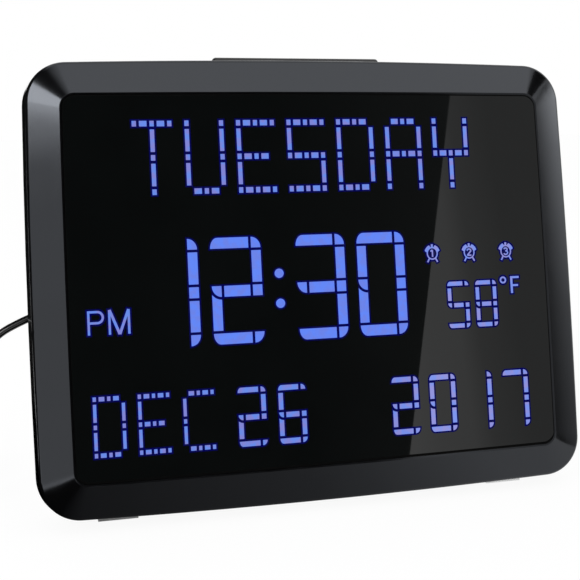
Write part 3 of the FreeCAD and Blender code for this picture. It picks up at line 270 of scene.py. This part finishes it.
def stroke(points, width):
    """Straight strokes of one width through some points, each a quad."""
    made = []
    for a, b in zip(points, points[1:]):
        a, b = Vector(a), Vector(b)
        along = (b - a).normalized()
        side = Vector((-along.y, along.x)) * (width / 2)
        made.append([tuple(a - side), tuple(b - side), tuple(b + side), tuple(a + side)])
    return made


# ---- the readout's shapes --------------------------------------------------------------
LETTERS = {
    "T": ("#####", "..#..", "..#..", "..#..", "..#.."),
    "U": ("#...#", "#...#", "#...#", "#...#", ".###."),
    "E": ("#####", "#....", "####.", "#....", "#####"),
    "S": ("#####", "#....", "#####", "....#", "#####"),
    "D": ("####.", "#...#", "#...#", "#...#", "####."),
    "A": (".###.", "#...#", "#####", "#...#", "#...#"),
    "Y": ("#...#", "#...#", "#####", "..#..", "..#.."),
    "C": (".####", "#....", "#....", "#....", ".####"),
}
MIDDLE_DROP = 0.2  # how far a digit's middle bar lies below its middle
SOFT_CORNER = 0.75  # width of a digit's round left corners, by the width of its upright bars
# which pieces of a digit are lit: see digit()
DIGITS = {
    "0": "ABCDEFGHJM",
    "1": "BCDEF",
    "2": "ABCDIMHGF",
    "3": "ABCDEFGIM",
    "5": "ABJMIDEFG",
    "6": "ABJMIDEFGH",
    "7": "ABCDEF",
    "8": "ABCDEFGHIJM",
}


def steps_of(size, square, gap):
    """Start and end of the five columns or rows of a letter: square, long, square, long, square."""
    long = (size - 3 * square - 4 * gap) / 2
    made, at = [], 0.0
    for length in (square, long, square, long, square):
        made.append((at, at + length))
        at += length + gap
    return made


def letter(name, p, q, size, square, gap):
    """Blocks of a letter whose lower left corner is at p, q."""
    columns = steps_of(size[0], square[0], gap[0])
    rows = steps_of(size[1], square[1], gap[1])[::-1]
    return [
        block(p + columns[i][0], p + columns[i][1], q + rows[k][0], q + rows[k][1])
        for k, line in enumerate(LETTERS[name])
        for i, mark in enumerate(line)
        if mark == "#"
    ]


def digit(name, p, q, size, bar, gap):
    """Pieces of a digit: A top, B and F right corners, C, D, E right side, G bottom, H and J left
    side, M left end of the middle, I middle."""
    w, h = size
    bx, by = bar
    r, t = p + w, q + h  # right and top edge
    m0, m1 = q + h / 2 - by / 2 - MIDDLE_DROP, q + h / 2 + by / 2 - MIDDLE_DROP
    soft = SOFT_CORNER * bx
    drop = (by + gap) * math.sqrt(1 - (bx / (bx + gap)) ** 2)
    turn = math.degrees(math.asin(drop / (by + gap)))
    pieces = {
        "A": [(p, t - by), (r - bx - gap, t - by), (r - bx - gap, t)]
        + arc(p + soft, t - by, soft, by, 90, 180)[:-1],
        "B": [(r - bx, t - by)] + arc(r - bx, t - by, bx, by, 0, 90),
        "C": block(r - bx, r, m1 + gap, t - by - gap),
        "D": block(r - bx, r, m0, m1),
        "E": block(r - bx, r, q + by + gap, m0 - gap),
        "F": [(r - bx, q + by)] + arc(r - bx, q + by, bx, by, 270, 360),
        "G": [(r - bx - gap, q), (r - bx - gap, q + by), (p, q + by)]
        + arc(p + soft, q + by, soft, by, 180, 270)[1:],
        "H": [(p, q + by + gap), (p + bx, q + by + gap)]
        + arc(p + bx, m1, bx + gap, by + gap, 270, 180 + turn),
        "I": block(p + bx + gap, r - bx - gap, m0, m1),
        "J": block(p, p + bx, m1 + gap, t - by - gap),
        "M": [(p + bx, m1)] + arc(p + bx, m1, bx, by, 180, 270),
    }
    return [pieces[k] for k in DIGITS[name]]


def line(shape, names, lefts, foot, size, bar, gap):
    """Letters or digits from their left edges, the height of the first one's foot with how much
    higher the last one's is, and a letter's or digit's size, bars and gaps."""
    made = []
    low, climb = foot
    for k, (name, left) in enumerate(zip(names, lefts)):
        made += shape(name, left, low + climb * k / (len(lefts) - 1), size, bar, gap)
    return made


def ring(centre, radii, start, end, steps):
    """Part of a ring, between two radii."""
    outer, inner = (arc(*centre, radius, radius, start, end, steps) for radius in radii)
    return band(outer, inner)


weekday = line(
    letter,
    "TUESDAY",
    lefts=(-73.99, -53.09, -32.08, -11.03, 10.16, 31.37, 52.5),
    foot=(35.39, 0.34),
    size=(15.74, 29.53),
    bar=(1.71, 2.24),
    gap=(1.15, 1.21),
)
month = line(
    letter,
    "DEC",
    lefts=(-93.41, -76.15, -58.51),
    foot=(-65.46, -0.18),
    size=(12.27, 23.26),
    bar=(1.26, 1.7),
    gap=(1.03, 1.1),
)
time = line(
    digit,
    "1230",
    lefts=(-70.86, -45.04, -9.79, 16.23),
    foot=(-24.86, 0.05),
    size=(20.58, 42.49),
    bar=(3.88, 4.34),
    gap=1.1,
)
day = line(
    digit,
    "26",
    lefts=(-36.63, -20.04),
    foot=(-65.79, -0.1),
    size=(11.29, 23.38),
    bar=(1.87, 2.06),
    gap=1.06,
)
year = line(
    digit,
    "2017",
    lefts=(28.25, 44.91, 61.44, 78.27),
    foot=(-66.18, -0.28),
    size=(11.43, 23.5),
    bar=(1.88, 2.08),
    gap=1.09,
)
temperature = line(
    digit,
    "58",
    lefts=(55.37, 68.08),
    foot=(-23.74, -0.03),
    size=(9.49, 19.52),
    bar=(1.59, 1.76),
    gap=1.05,
)

COLON_RADIUS = 1.89
COLON_CENTRES = ((-17.22, 2.46), (-17.22, -9.67))
for centre in COLON_CENTRES:
    time.append(arc(*centre, COLON_RADIUS, COLON_RADIUS, 0, 345, 23))

DEGREE_CENTRE, DEGREE_RADII = (81.0, -4.5), (1.52, 0.8)
F_LEFT, F_TOP = 84.4, -3.05
unit = ring(DEGREE_CENTRE, DEGREE_RADII, 0, 360, 24)
unit += [
    block(F_LEFT, 85.4, -10.25, F_TOP),
    block(F_LEFT, 88.4, -3.95, F_TOP),
    block(F_LEFT, 87.9, -7.35, -6.5),
]

P_LEFT, P_TOP = -94.2, -9.05
BOWL_CENTRE, BOWL_RADII = (-90.4, -11.65), (2.6, 1.7)
M_FOOT, M_TOP, M_SLANT = -18.5, -8.95, 1.05  # the last is the width of its slanted strokes
meridiem = [
    block(P_LEFT, -93.3, -18.4, P_TOP),
    block(P_LEFT, BOWL_CENTRE[0], -9.95, P_TOP),
    block(P_LEFT, BOWL_CENTRE[0], -14.25, -13.35),
]
meridiem += ring(BOWL_CENTRE, BOWL_RADII, -90, 90, 14)
meridiem += [block(-86.2, -85.3, M_FOOT, M_TOP), block(-78.75, -77.8, M_FOOT, M_TOP)]
meridiem += stroke([(-85.65, M_TOP), (-81.95, M_FOOT), (-78.3, M_TOP)], M_SLANT)

# places from the dial's centre
ICON_DIGITS = {
    "1": [[(-0.75, 0.85), (0.1, 1.45), (0.1, -1.5)]],
    "2": [
        [(-0.95, 0.75), (-0.6, 1.3), (0.0, 1.45), (0.7, 1.2), (0.85, 0.6)],
        [(0.85, 0.6), (-0.9, -1.25), (1.0, -1.25)],
    ],
    "3": [
        [(-0.9, 1.0), (-0.3, 1.4), (0.5, 1.3), (0.75, 0.75), (0.4, 0.2), (-0.2, 0.1)],
        [(0.4, 0.2), (0.85, -0.3), (0.8, -0.95), (0.2, -1.4), (-0.5, -1.35), (-0.95, -0.9)],
    ],
}
ICON_CENTRES = {"1": (49.4, 8.05), "2": (66.15, 7.9), "3": (83.1, 7.75)}
ICON_STROKE, ICON_LEG = 0.62, 0.65  # widths
BELLS = (43, 137)  # degrees


def alarm_icon(name, cx, cy):
    """Twin-bell clock with a number on its dial: rim, bells, knob, legs, number."""
    made = band(arc(cx, cy, 2.5, 2.7, 0, 360, 28), arc(cx, cy, 1.95, 2.15, 0, 360, 28))
    for bell in BELLS:
        made += band(
            arc(cx, cy, 3.5, 3.7, bell - 25, bell + 25, 8),
            arc(cx, cy, 2.4, 2.6, bell - 33, bell + 33, 8),
        )
    made.append(block(cx - 0.45, cx + 0.45, cy + 2.5, cy + 3.85))
    for s in (-1, 1):
        made += stroke([(cx + s * 1.45, cy - 2.2), (cx + s * 2.25, cy - 3.65)], ICON_LEG)
    for points in ICON_DIGITS[name]:
        made += stroke([(cx + x, cy + y) for x, y in points], ICON_STROKE)
    return made


alarms = []
for name, centre in ICON_CENTRES.items():
    alarms += alarm_icon(name, *centre)

# back and front of the plates, in front of the window; the lit ones cover all but the glow's rim
GLOW_LAYER = (-0.05, 0.012)
LIT_LAYER = (0.006, 0.024)
GLOW_REACH = 0.65
readout = {
    "weekday": weekday,
    "month": month,
    "time": time,
    "day": day,
    "year": year,
    "temperature": temperature,
    "unit": unit,
    "meridiem": meridiem,
    "alarms": alarms,
}
lit_pieces, glow_pieces = {}, {}
for name, shapes in readout.items():
    lit_pieces[name] = plate("readout_" + name, shapes, *LIT_LAYER)
    glow_pieces[name] = plate("glow_" + name, [grown(s, GLOW_REACH) for s in shapes], *GLOW_LAYER)


# ---- painted shade line at the window's edge -------------------------------------------
# painted shade: a matte black band just inside the window's edge stands for the shadow in the gap
# between window and bezel, widest below the window
WINDOW_HALF = (101.1, 75.7)
WINDOW_BOW = 0.5
WINDOW_CORNER = 5.0
EDGE_WIDTH = 0.9  # below the window, and these shares of it at its sides and above it
EDGE_SHARE_SIDE, EDGE_SHARE_TOP = 0.25, 0.5
EDGE_FADE = 0.8 * WINDOW_CORNER  # height within which the width changes
EDGE_INSET = 0.03  # of its outer line in the window's
EDGE_LAYER = (-0.03, 0.004)


def window_line(grow):
    """The window's outline, grown or shrunk: bowed sides and round corners."""
    (a, b), bow = WINDOW_HALF, WINDOW_BOW
    cx, cy = a - WINDOW_CORNER, b - WINDOW_CORNER
    for _ in range(3):  # settles the centre of the round corners
        cx = a - bow * (cy / b) ** 2 - WINDOW_CORNER
        cy = b - bow * (cx / a) ** 2 - WINDOW_CORNER
    reach = WINDOW_CORNER + grow
    side = [(a + grow - bow * (q / b) ** 2, q) for q in (-cy / 2, 0, cy / 2)]
    top = [(p, b + grow - bow * (p / a) ** 2) for p in (cx / 2, 0, -cx / 2)]
    made = side + arc(cx, cy, reach, reach, 0, 90) + top + arc(-cx, cy, reach, reach, 90, 180)
    made += [(-p, -q) for p, q in side] + arc(-cx, -cy, reach, reach, 180, 270)
    made += [(-p, -q) for p, q in top] + arc(cx, -cy, reach, reach, 270, 360)
    return made + made[:1]


def shade_line_share(q):
    """Share of the full width of the painted shade line at a height on the face."""
    low = smooth(min(1.0, max(0.0, (WINDOW_CORNER - WINDOW_HALF[1] - q) / EDGE_FADE)))
    high = smooth(min(1.0, max(0.0, (q + WINDOW_CORNER - WINDOW_HALF[1]) / EDGE_FADE)))
    return EDGE_SHARE_SIDE + (1 - EDGE_SHARE_SIDE) * low + (EDGE_SHARE_TOP - EDGE_SHARE_SIDE) * high


edge_outer = window_line(-EDGE_INSET)
edge_inner = [
    tuple(Vector(a).lerp(Vector(b), shade_line_share(a[1])))
    for a, b in zip(edge_outer, window_line(-EDGE_WIDTH))
]
window_shade_line = plate("window_shade_line", band(edge_outer, edge_inner), *EDGE_LAYER)


# ---- materials -------------------------------------------------------------------------
def linear(red, green, blue):
    """Scene colour of a colour that is given as it looks on a screen, 0 to 255."""
    made = []
    for value in (red, green, blue):
        value /= 255
        made.append(value / 12.92 if value <= 0.04045 else ((value + 0.055) / 1.055) ** 2.4)
    return (*made, 1.0)


def add(tree, kind, place, **values):
    """A node with its place in the drawing, its inputs and its settings."""
    node = tree.nodes.new(kind)
    node.location = place
    for key, value in values.items():
        if key in node.inputs:
            node.inputs[key].default_value = value
        else:
            setattr(node, key, value)
    return node


def ramp(tree, place, *stops):
    """Colour ramp with (position, colour) stops."""
    node = tree.nodes.new("ShaderNodeValToRGB")
    node.location = place
    points = node.color_ramp.elements
    for k, (at, colour) in enumerate(stops):
        point = points[k] if k < len(points) else points.new(at)
        point.position = at
        point.color = colour
    return node


def shade(colour, by):
    """A colour made lighter or darker."""
    return (*(min(1.0, c * by) for c in colour[:3]), 1.0)


def finish(
    name,
    colour,
    rough,
    grain=0.5,
    grain_depth=0.0,
    blotch=12.0,
    spread=0.12,
    rough_spread=0.05,
    metallic=0.0,
    **more,
):
    """Moulded or metal finish. Grain and blotch are sizes, and the depth is the bump's height, all
    in millimetres; the spreads are how far colour and roughness drift over a blotch."""
    material = bpy.data.materials.new(name)
    material.use_nodes = True
    tree = material.node_tree
    tree.nodes.clear()
    out = add(tree, "ShaderNodeOutputMaterial", (600, 0))
    shader = add(tree, "ShaderNodeBsdfPrincipled", (300, 0))
    shader.inputs["Metallic"].default_value = metallic
    for key, value in more.items():
        shader.inputs[key.replace("_", " ")].default_value = value
    where = add(tree, "ShaderNodeTexCoord", (-900, 0))
    cloud = add(tree, "ShaderNodeTexNoise", (-700, 200), Scale=1 / (blotch * MM), Detail=3.0)
    tones = ramp(
        tree, (-400, 200), (0.3, shade(colour, 1 - spread)), (0.7, shade(colour, 1 + spread))
    )
    wear = ramp(
        tree,
        (-400, -50),
        (0.3, (rough - rough_spread,) * 3 + (1.0,)),
        (0.7, (rough + rough_spread,) * 3 + (1.0,)),
    )
    link = tree.links.new
    link(where.outputs["Object"], cloud.inputs["Vector"])
    link(cloud.outputs["Fac"], tones.inputs["Fac"])
    link(cloud.outputs["Fac"], wear.inputs["Fac"])
    link(tones.outputs["Color"], shader.inputs["Base Color"])
    link(wear.outputs["Color"], shader.inputs["Roughness"])
    if grain_depth:
        fine = add(tree, "ShaderNodeTexNoise", (-700, -300), Scale=1 / (grain * MM), Detail=2.0)
        bump = add(tree, "ShaderNodeBump", (0, -300), Strength=1.0, Distance=grain_depth * MM)
        link(where.outputs["Object"], fine.inputs["Vector"])
        link(fine.outputs["Fac"], bump.inputs["Height"])
        link(bump.outputs["Normal"], shader.inputs["Normal"])
    link(shader.outputs["BSDF"], out.inputs["Surface"])
    return material


UNLIT = linear(8, 8, 30)  # the readout's surface under its light
LIT_BLOTCH = 2.6  # size in mm of the drift in its light


def glowing(name, one, other, **more):
    """Lit or faintly lit area of the readout, that drifts between two colours."""
    material = finish(name, UNLIT, 0.05, spread=0.2, rough_spread=0.01, blotch=6.0, **more)
    tree = material.node_tree
    shader = next(n for n in tree.nodes if n.type == "BSDF_PRINCIPLED")
    where = next(n for n in tree.nodes if n.type == "TEX_COORD")
    cloud = add(tree, "ShaderNodeTexNoise", (-700, -300), Scale=1 / (LIT_BLOTCH * MM), Detail=1.0)
    tones = ramp(tree, (-400, -300), (0.4, one), (0.6, other))
    tree.links.new(where.outputs["Object"], cloud.inputs["Vector"])
    tree.links.new(cloud.outputs["Fac"], tones.inputs["Fac"])
    tree.links.new(tones.outputs["Color"], shader.inputs["Emission Color"])
    shader.inputs["Emission Strength"].default_value = 1.0
    return material


# by material slot
FINISHES = {
    "bezel": finish(
        "gloss_black",
        linear(9, 9, 10),
        0.11,
        grain=2.5,
        grain_depth=0.0015,
        rough_spread=0.015,
        Specular_IOR_Level=0.62,
        Specular_Tint=(0.84, 0.89, 0.985, 1.0),
    ),
    "lens": finish("window_black", linear(12, 14, 14), 0.016, blotch=30.0, rough_spread=0.004),
    "tape": finish("tape_black", linear(20, 20, 20), 0.7, grain=0.3, grain_depth=0.01),
    "glass": finish("panel_glass", linear(26, 34, 40), 0.08),
    "film": finish("film_white", linear(225, 226, 224), 0.45, spread=0.03),
    "guide": finish("guide_clear", linear(214, 222, 228), 0.06, spread=0.03),
    "board": finish(
        "board_green", linear(18, 74, 42), 0.35, grain=1.2, grain_depth=0.02, blotch=3.0
    ),
    "led": finish("led_cream", linear(232, 220, 150), 0.3),
    "case": finish("case_black", linear(24, 24, 25), 0.42, grain=0.35, grain_depth=0.02),
    "screw": finish("screw_steel", linear(150, 150, 154), 0.3, metallic=1.0, blotch=2.0),
    "ribbon": finish("ribbon_amber", linear(176, 120, 40), 0.35, blotch=4.0),
    "parts": finish("parts_black", linear(28, 28, 30), 0.45, grain=0.3, grain_depth=0.01),
    "switch": finish("switch_black", linear(32, 32, 34), 0.4),
    "rubber": finish("rubber_black", linear(22, 22, 22), 0.8, grain=0.4, grain_depth=0.03),
    "snooze": finish("snooze_black", linear(16, 16, 17), 0.3, grain=0.4, grain_depth=0.008),
    "pin": finish("pin_steel", linear(170, 170, 172), 0.25, metallic=1.0, blotch=2.0),
    "cell": finish("cell_sleeve", linear(150, 152, 156), 0.3, metallic=0.6, blotch=8.0),
    "contact": finish("contact_nickel", linear(190, 186, 176), 0.25, metallic=1.0, blotch=2.0),
    "key": finish("key_black", linear(30, 30, 32), 0.38, grain=0.4, grain_depth=0.008),
    "plug": finish("plug_black", linear(18, 18, 18), 0.5, grain=0.5, grain_depth=0.012),
    "cord": finish("cord_black", linear(11, 11, 12), 0.2, grain=0.8, grain_depth=0.006),
    "adapter": finish("adapter_black", linear(22, 22, 23), 0.4, grain=0.35, grain_depth=0.02),
    "blade": finish("blade_nickel", linear(205, 200, 190), 0.22, metallic=1.0, blotch=3.0),
}
# a node that looks unlike the rest of its slot: the pads under the case are clear silicone
NODE_FINISHES = {
    "case_pads": finish(
        "pad_clear", linear(240, 242, 242), 0.3, spread=0.02, Transmission_Weight=0.85, IOR=1.41
    ),
}
LIT = {
    "time": glowing("lit_blue", linear(99, 135, 246), linear(107, 131, 232)),
    "words": glowing("lit_slate", linear(104, 140, 232), linear(128, 132, 212)),
    "small": glowing("lit_violet", linear(116, 142, 232), linear(138, 140, 214)),
}
LIT_AS = {  # the rest of the readout is small
    "time": "time",
    "weekday": "words",
    "month": "words",
    "day": "words",
    "meridiem": "words",
}
GLOW = glowing("glow_navy", linear(0, 0, 82), linear(4, 4, 74), Specular_IOR_Level=0.0)


def dress(obj, material):
    """Gives a piece that was made here its one material."""
    obj.data.materials.clear()
    obj.data.materials.append(material)


slot_of = {part["node"]: part["material_slot"] for part in frame["record"]["subparts"]}
for node, obj in frame["nodes"].items():
    for material_slot in obj.material_slots:
        material_slot.material = NODE_FINISHES.get(node, FINISHES[slot_of[node]])
dress(cord, FINISHES["cord"])
# painted shade: matte near-black with almost no specular, for the shadow line at the window's edge
dress(window_shade_line, finish("painted_shade_black", linear(5, 5, 5), 0.7, Specular_IOR_Level=0.05))
for name, piece in lit_pieces.items():
    dress(piece, LIT[LIT_AS.get(name, "small")])
for piece in glow_pieces.values():
    dress(piece, GLOW)


# ---- studio ----------------------------------------------------------------------------
def staged(name, corners, material, only_reflected=True):
    """Flat sheet of the studio, no part of the object: it rides on none of the clock's bodies."""
    data = bpy.data.meshes.new(name)
    data.from_pydata([Vector(c) for c in corners], [], [tuple(range(len(corners)))])
    obj = linked(name, data)
    obj.data.materials.append(material)
    if only_reflected:
        obj.visible_camera = False
        obj.visible_diffuse = False
        obj.visible_transmission = False
        obj.visible_shadow = False


def sheet_material(name):
    """New material with its tree and its output node."""
    material = bpy.data.materials.new(name)
    material.use_nodes = True
    tree = material.node_tree
    tree.nodes.clear()
    return material, tree, add(tree, "ShaderNodeOutputMaterial", (600, 0))


def graded(tree, place, way, stops):
    """Strength at a place of the room, from stops of a distance along `way` and a strength."""
    low, high = stops[0][0], stops[-1][0]
    top = max(strength for _, strength in stops)
    where = add(tree, "ShaderNodeTexCoord", (place[0] - 900, place[1]))
    along = add(tree, "ShaderNodeVectorMath", (place[0] - 700, place[1]), operation="DOT_PRODUCT")
    along.inputs[1].default_value = way
    scale = add(tree, "ShaderNodeMapRange", (place[0] - 500, place[1]))
    scale.inputs["From Min"].default_value = low
    scale.inputs["From Max"].default_value = high
    grey = ramp(
        tree,
        (place[0] - 300, place[1]),
        *[((at - low) / (high - low), (level / top,) * 3 + (1.0,)) for at, level in stops],
    )
    full = add(tree, "ShaderNodeMath", place, operation="MULTIPLY")
    full.inputs[1].default_value = top
    tree.links.new(where.outputs["Object"], along.inputs[0])
    tree.links.new(along.outputs["Value"], scale.inputs["Value"])
    tree.links.new(scale.outputs["Result"], grey.inputs["Fac"])
    tree.links.new(grey.outputs["Color"], full.inputs[0])
    return full.outputs["Value"]


def mixed(tree, place, share, one, other):
    """Strength between two strengths, nearer the other as the share grows."""
    node = add(tree, "ShaderNodeMix", place, data_type="FLOAT")
    for strength, socket in ((share, 0), (one, 2), (other, 3)):
        tree.links.new(strength, node.inputs[socket])
    return node.outputs[0]


def card(name, corners, *grades):
    """Sheet that only reflections see; the strengths of its (way, stops) grades multiply."""
    material, tree, out = sheet_material(name)
    light = add(tree, "ShaderNodeEmission", (300, 0))
    strengths = [graded(tree, (-300, -300 * k), *grade) for k, grade in enumerate(grades)]
    both = add(tree, "ShaderNodeMath", (0, 0), operation="MULTIPLY")
    both.inputs[1].default_value = 1.0
    for strength, socket in zip(strengths, both.inputs):
        tree.links.new(strength, socket)
    tree.links.new(both.outputs["Value"], light.inputs["Strength"])
    tree.links.new(light.outputs["Emission"], out.inputs["Surface"])
    staged(name, corners, material)


def upright(y, heights, left, right):
    """Corners of a sheet that stands across the room; its sides are given by x at foot and top."""
    foot, top = heights
    return [(left[0], y, foot), (right[0], y, foot), (right[1], y, top), (left[1], y, top)]


ACROSS, DEEP, UP = (1.0, 0.0, 0.0), (0.0, 1.0, 0.0), (0.0, 0.0, 1.0)
FLOOR_REACH = 4.0
FLOOR_COLOUR = (0.8, 0.8, 0.8, 1.0)
FLOOR_SEEN = 0.86  # share of plain white in what the camera sees of the floor
FLOOR_WHITE = 1.08  # with the lit share it comes to white
# the slope below the window reflects the floor just before it, darker to the left: by x
FLOOR_SHADE = [
    (-0.15, 0.0),
    (-0.114, 0.0),
    (-0.098, 0.13),
    (-0.055, 0.21),
    (0.0, 0.31),
    (0.025, 0.43),
    (0.055, 0.63),
    (0.085, 0.82),
    (0.12, 0.86),
]
# behind the front it is dark at the left alone: by x, and the share of this by y
BACK_SHADE = [(-0.22, 1.3), (-0.19, 0.0), (-0.114, 0.0), (-0.1, 1.3)]
BACK_SHARE = [(-0.01, 0.0), (0.02, 1.0)]
# the plain floor before and behind both, and the share of this: by y
FLOOR_PLAIN = [(-0.9, 1.0), (-0.35, 1.2), (-0.2, 1.9), (0.2, 1.3)]
FLOOR_SHARE = [(-0.2, 1.0), (-0.15, 0.0), (0.21, 0.0), (0.3, 1.0)]


def floor_material():
    """Pale floor: white to the camera apart from a little of the shadow, and the grades above to
    what reflects it."""
    material, tree, out = sheet_material("floor")
    path = add(tree, "ShaderNodeLightPath", (-600, 200))
    straight = add(tree, "ShaderNodeMath", (-400, 200), operation="MAXIMUM")
    share = add(tree, "ShaderNodeMath", (-200, 200), operation="MULTIPLY")
    share.inputs[1].default_value = FLOOR_SEEN
    diffuse = add(tree, "ShaderNodeBsdfDiffuse", (0, 0), Color=FLOOR_COLOUR)
    light = add(tree, "ShaderNodeEmission", (0, -200), Strength=FLOOR_WHITE)
    shade_light = add(tree, "ShaderNodeEmission", (0, -400))
    mix = add(tree, "ShaderNodeMixShader", (200, 0))
    mirror = add(tree, "ShaderNodeMixShader", (400, 0))
    link = tree.links.new
    link(path.outputs["Is Camera Ray"], straight.inputs[0])
    link(path.outputs["Is Transmission Ray"], straight.inputs[1])
    link(straight.outputs["Value"], share.inputs[0])
    link(share.outputs["Value"], mix.inputs["Fac"])
    link(diffuse.outputs["BSDF"], mix.inputs[1])
    link(light.outputs["Emission"], mix.inputs[2])
    shaded = mixed(
        tree,
        (-100, -1300),
        graded(tree, (-300, -1900), DEEP, BACK_SHARE),
        graded(tree, (-300, -400), ACROSS, FLOOR_SHADE),
        graded(tree, (-300, -1600), ACROSS, BACK_SHADE),
    )
    reflected = mixed(
        tree,
        (-100, -500),
        graded(tree, (-300, -700), DEEP, FLOOR_SHARE),
        shaded,
        graded(tree, (-300, -1000), DEEP, FLOOR_PLAIN),
    )
    link(reflected, shade_light.inputs["Strength"])
    link(path.outputs["Is Glossy Ray"], mirror.inputs["Fac"])
    link(mix.outputs["Shader"], mirror.inputs[1])
    link(shade_light.outputs["Emission"], mirror.inputs[2])
    link(mirror.outputs["Shader"], out.inputs["Surface"])
    return material


staged(
    "floor",
    [
        (-FLOOR_REACH, -FLOOR_REACH, 0),
        (FLOOR_REACH, -FLOOR_REACH, 0),
        (FLOOR_REACH, FLOOR_REACH, 0),
        (-FLOOR_REACH, FLOOR_REACH, 0),
    ],
    floor_material(),
    only_reflected=False,
)

# the window reflects the room in front of the clock: a dark sheet, and right of it a lit one
FRONT = -1.2
FRONT_HEIGHTS = (0.0, 0.9)
FRONT_LEFT, FRONT_MIDDLE, FRONT_RIGHT = (-0.3, -0.3), (0.445, 0.6755), (1.5, 1.5)
card(
    "dark_sheet",
    upright(FRONT, FRONT_HEIGHTS, FRONT_LEFT, FRONT_MIDDLE),
    (ACROSS, [(-0.3, 0.0), (0.3, 0.01), (0.62, 0.08)]),
)
card(
    "window_sheet",
    upright(FRONT, FRONT_HEIGHTS, FRONT_MIDDLE, FRONT_RIGHT),
    (ACROSS, [(0.45, 1.1), (0.52, 0.87), (0.575, 0.82), (0.61, 0.57), (0.68, 0.43), (1.5, 0.45)]),
    (UP, [(0.0, 0.98), (0.3, 1.03), (0.9, 0.95)]),
)

# the slope at the right reflects a near sheet that brightens outwards and upwards
SIDE_FOOT = (0.18573, -0.07947, 0.0)  # on the line that the slope's inner edge reflects
SIDE_OUT = (0.46645, 0.88455, -0.1795)  # grows by the distance out from that line
SIDE_START = sum(a * b for a, b in zip(SIDE_FOOT, SIDE_OUT))
SIDE_INNER, SIDE_OUTER = -0.006, 0.02  # the sheet's two edges, by that distance
SIDE_LOW, SIDE_HIGH = -0.01, 0.235


def side_corner(out, height):
    """Corner of the side sheet, so far out from that line."""
    away = out - SIDE_OUT[2] * height
    return (SIDE_FOOT[0] + SIDE_OUT[0] * away, SIDE_FOOT[1] + SIDE_OUT[1] * away, height)


card(
    "side_sheet",
    [
        side_corner(SIDE_INNER, SIDE_LOW),
        side_corner(SIDE_OUTER, SIDE_LOW),
        side_corner(SIDE_OUTER, SIDE_HIGH),
        side_corner(SIDE_INNER, SIDE_HIGH),
    ],
    (SIDE_OUT, [(SIDE_START - 0.001, 0.38), (SIDE_START + 0.011, 3.45)]),
    (
        UP,
        [
            (0.026, 0.155),
            (0.066, 0.23),
            (0.086, 0.27),
            (0.125, 0.44),
            (0.169, 0.67),
            (0.187, 0.89),
            (0.21, 1.2),
        ],
    ),
)

# below the lamp at the left its light fades out
card(
    "left_glow_sheet",
    upright(-0.7, (0.24, 0.475), (-0.95, -0.95), (-0.3, -0.3)),
    (UP, [(0.24, 1.04), (0.395, 1.0), (0.42, 1.06), (0.437, 1.58), (0.456, 2.1), (0.475, 2.55)]),
)

# the upper left corner reflects a dark sheet between the two lamps, with a soft end at its right
CORNER_HEIGHT = 1.0
card(
    "corner_sheet",
    [
        (-0.597, -0.888, CORNER_HEIGHT),
        (-0.984, -0.508, CORNER_HEIGHT),
        (-0.486, -0.22, CORNER_HEIGHT),
        (-0.174, -0.493, CORNER_HEIGHT),
        (-0.209, -0.738, CORNER_HEIGHT),
    ],
    (ACROSS, [(-0.36, 0.02), (-0.2, 1.2)]),
)

# the upper right corner reflects another, that leans
LEAN_LOW, LEAN_HIGH = 0.692, 0.835
card(
    "right_corner_sheet",
    [
        (0.635, -0.53, LEAN_HIGH),
        (0.843, -0.13, LEAN_HIGH),
        (0.947, -0.148, LEAN_LOW),
        (0.709, -0.604, LEAN_LOW),
    ],
    (UP, [(0.69, 0.03), (0.84, 0.02)]),
)

# the left wall of the case and its edge reflect dark sheets beside and behind the clock
LEFT = -0.32
card(
    "left_sheet",
    [(LEFT, -0.12, 0.0), (LEFT, 0.25, 0.0), (LEFT, 0.25, 0.8), (LEFT, -0.12, 0.8)],
    (UP, [(0.0, 0.02), (0.8, 0.01)]),
)
card(
    "back_sheet",
    upright(0.06, (0.028, 0.21), (-0.16, -0.16), (-0.118, -0.118)),
    (UP, [(0.0, 0.008), (0.3, 0.003)]),
)

PLAIN_WHITE = (1, 1, 1, 1)
WORLD_LIGHT = 0.55  # on the object
WORLD_SEEN = 1.0  # white, to the camera, in reflections and through what is clear


def light_the_world():
    """Even light from all sides, and a plain white background."""
    world = bpy.data.worlds.new("studio")
    scene.world = world
    world.use_nodes = True
    tree = world.node_tree
    tree.nodes.clear()
    out = add(tree, "ShaderNodeOutputWorld", (600, 0))
    path = add(tree, "ShaderNodeLightPath", (-600, 200))
    either = add(tree, "ShaderNodeMath", (-400, 200), operation="MAXIMUM")
    any_seen = add(tree, "ShaderNodeMath", (-200, 200), operation="MAXIMUM")
    light = add(tree, "ShaderNodeBackground", (0, 0), Color=PLAIN_WHITE, Strength=WORLD_LIGHT)
    seen = add(tree, "ShaderNodeBackground", (0, -200), Color=PLAIN_WHITE, Strength=WORLD_SEEN)
    mix = add(tree, "ShaderNodeMixShader", (300, 0))
    link = tree.links.new
    link(path.outputs["Is Camera Ray"], either.inputs[0])
    link(path.outputs["Is Glossy Ray"], either.inputs[1])
    link(either.outputs["Value"], any_seen.inputs[0])
    link(path.outputs["Is Transmission Ray"], any_seen.inputs[1])
    link(any_seen.outputs["Value"], mix.inputs["Fac"])
    link(light.outputs["Background"], mix.inputs[1])
    link(seen.outputs["Background"], mix.inputs[2])
    link(mix.outputs["Shader"], out.inputs["Surface"])


def softbox(name, place, target, size, radiance):
    """Rectangular lamp of an even brightness."""
    data = bpy.data.lights.new(name, "AREA")
    data.shape = "RECTANGLE"
    data.size, data.size_y = size
    data.energy = radiance * math.pi * size[0] * size[1]
    aim(linked(name, data), place, Vector(target) - Vector(place))


light_the_world()
softbox(
    "overhead",
    place=(0.35, -0.75, 1.15),
    target=(0.0, 0.0, 0.1),
    size=(1.1, 0.7),
    radiance=0.56,
)
softbox(
    "upper_left",
    place=(-0.85, -0.95, 0.85),
    target=(-0.05, 0.0, 0.15),
    size=(0.45, 0.45),
    radiance=6.5,
)
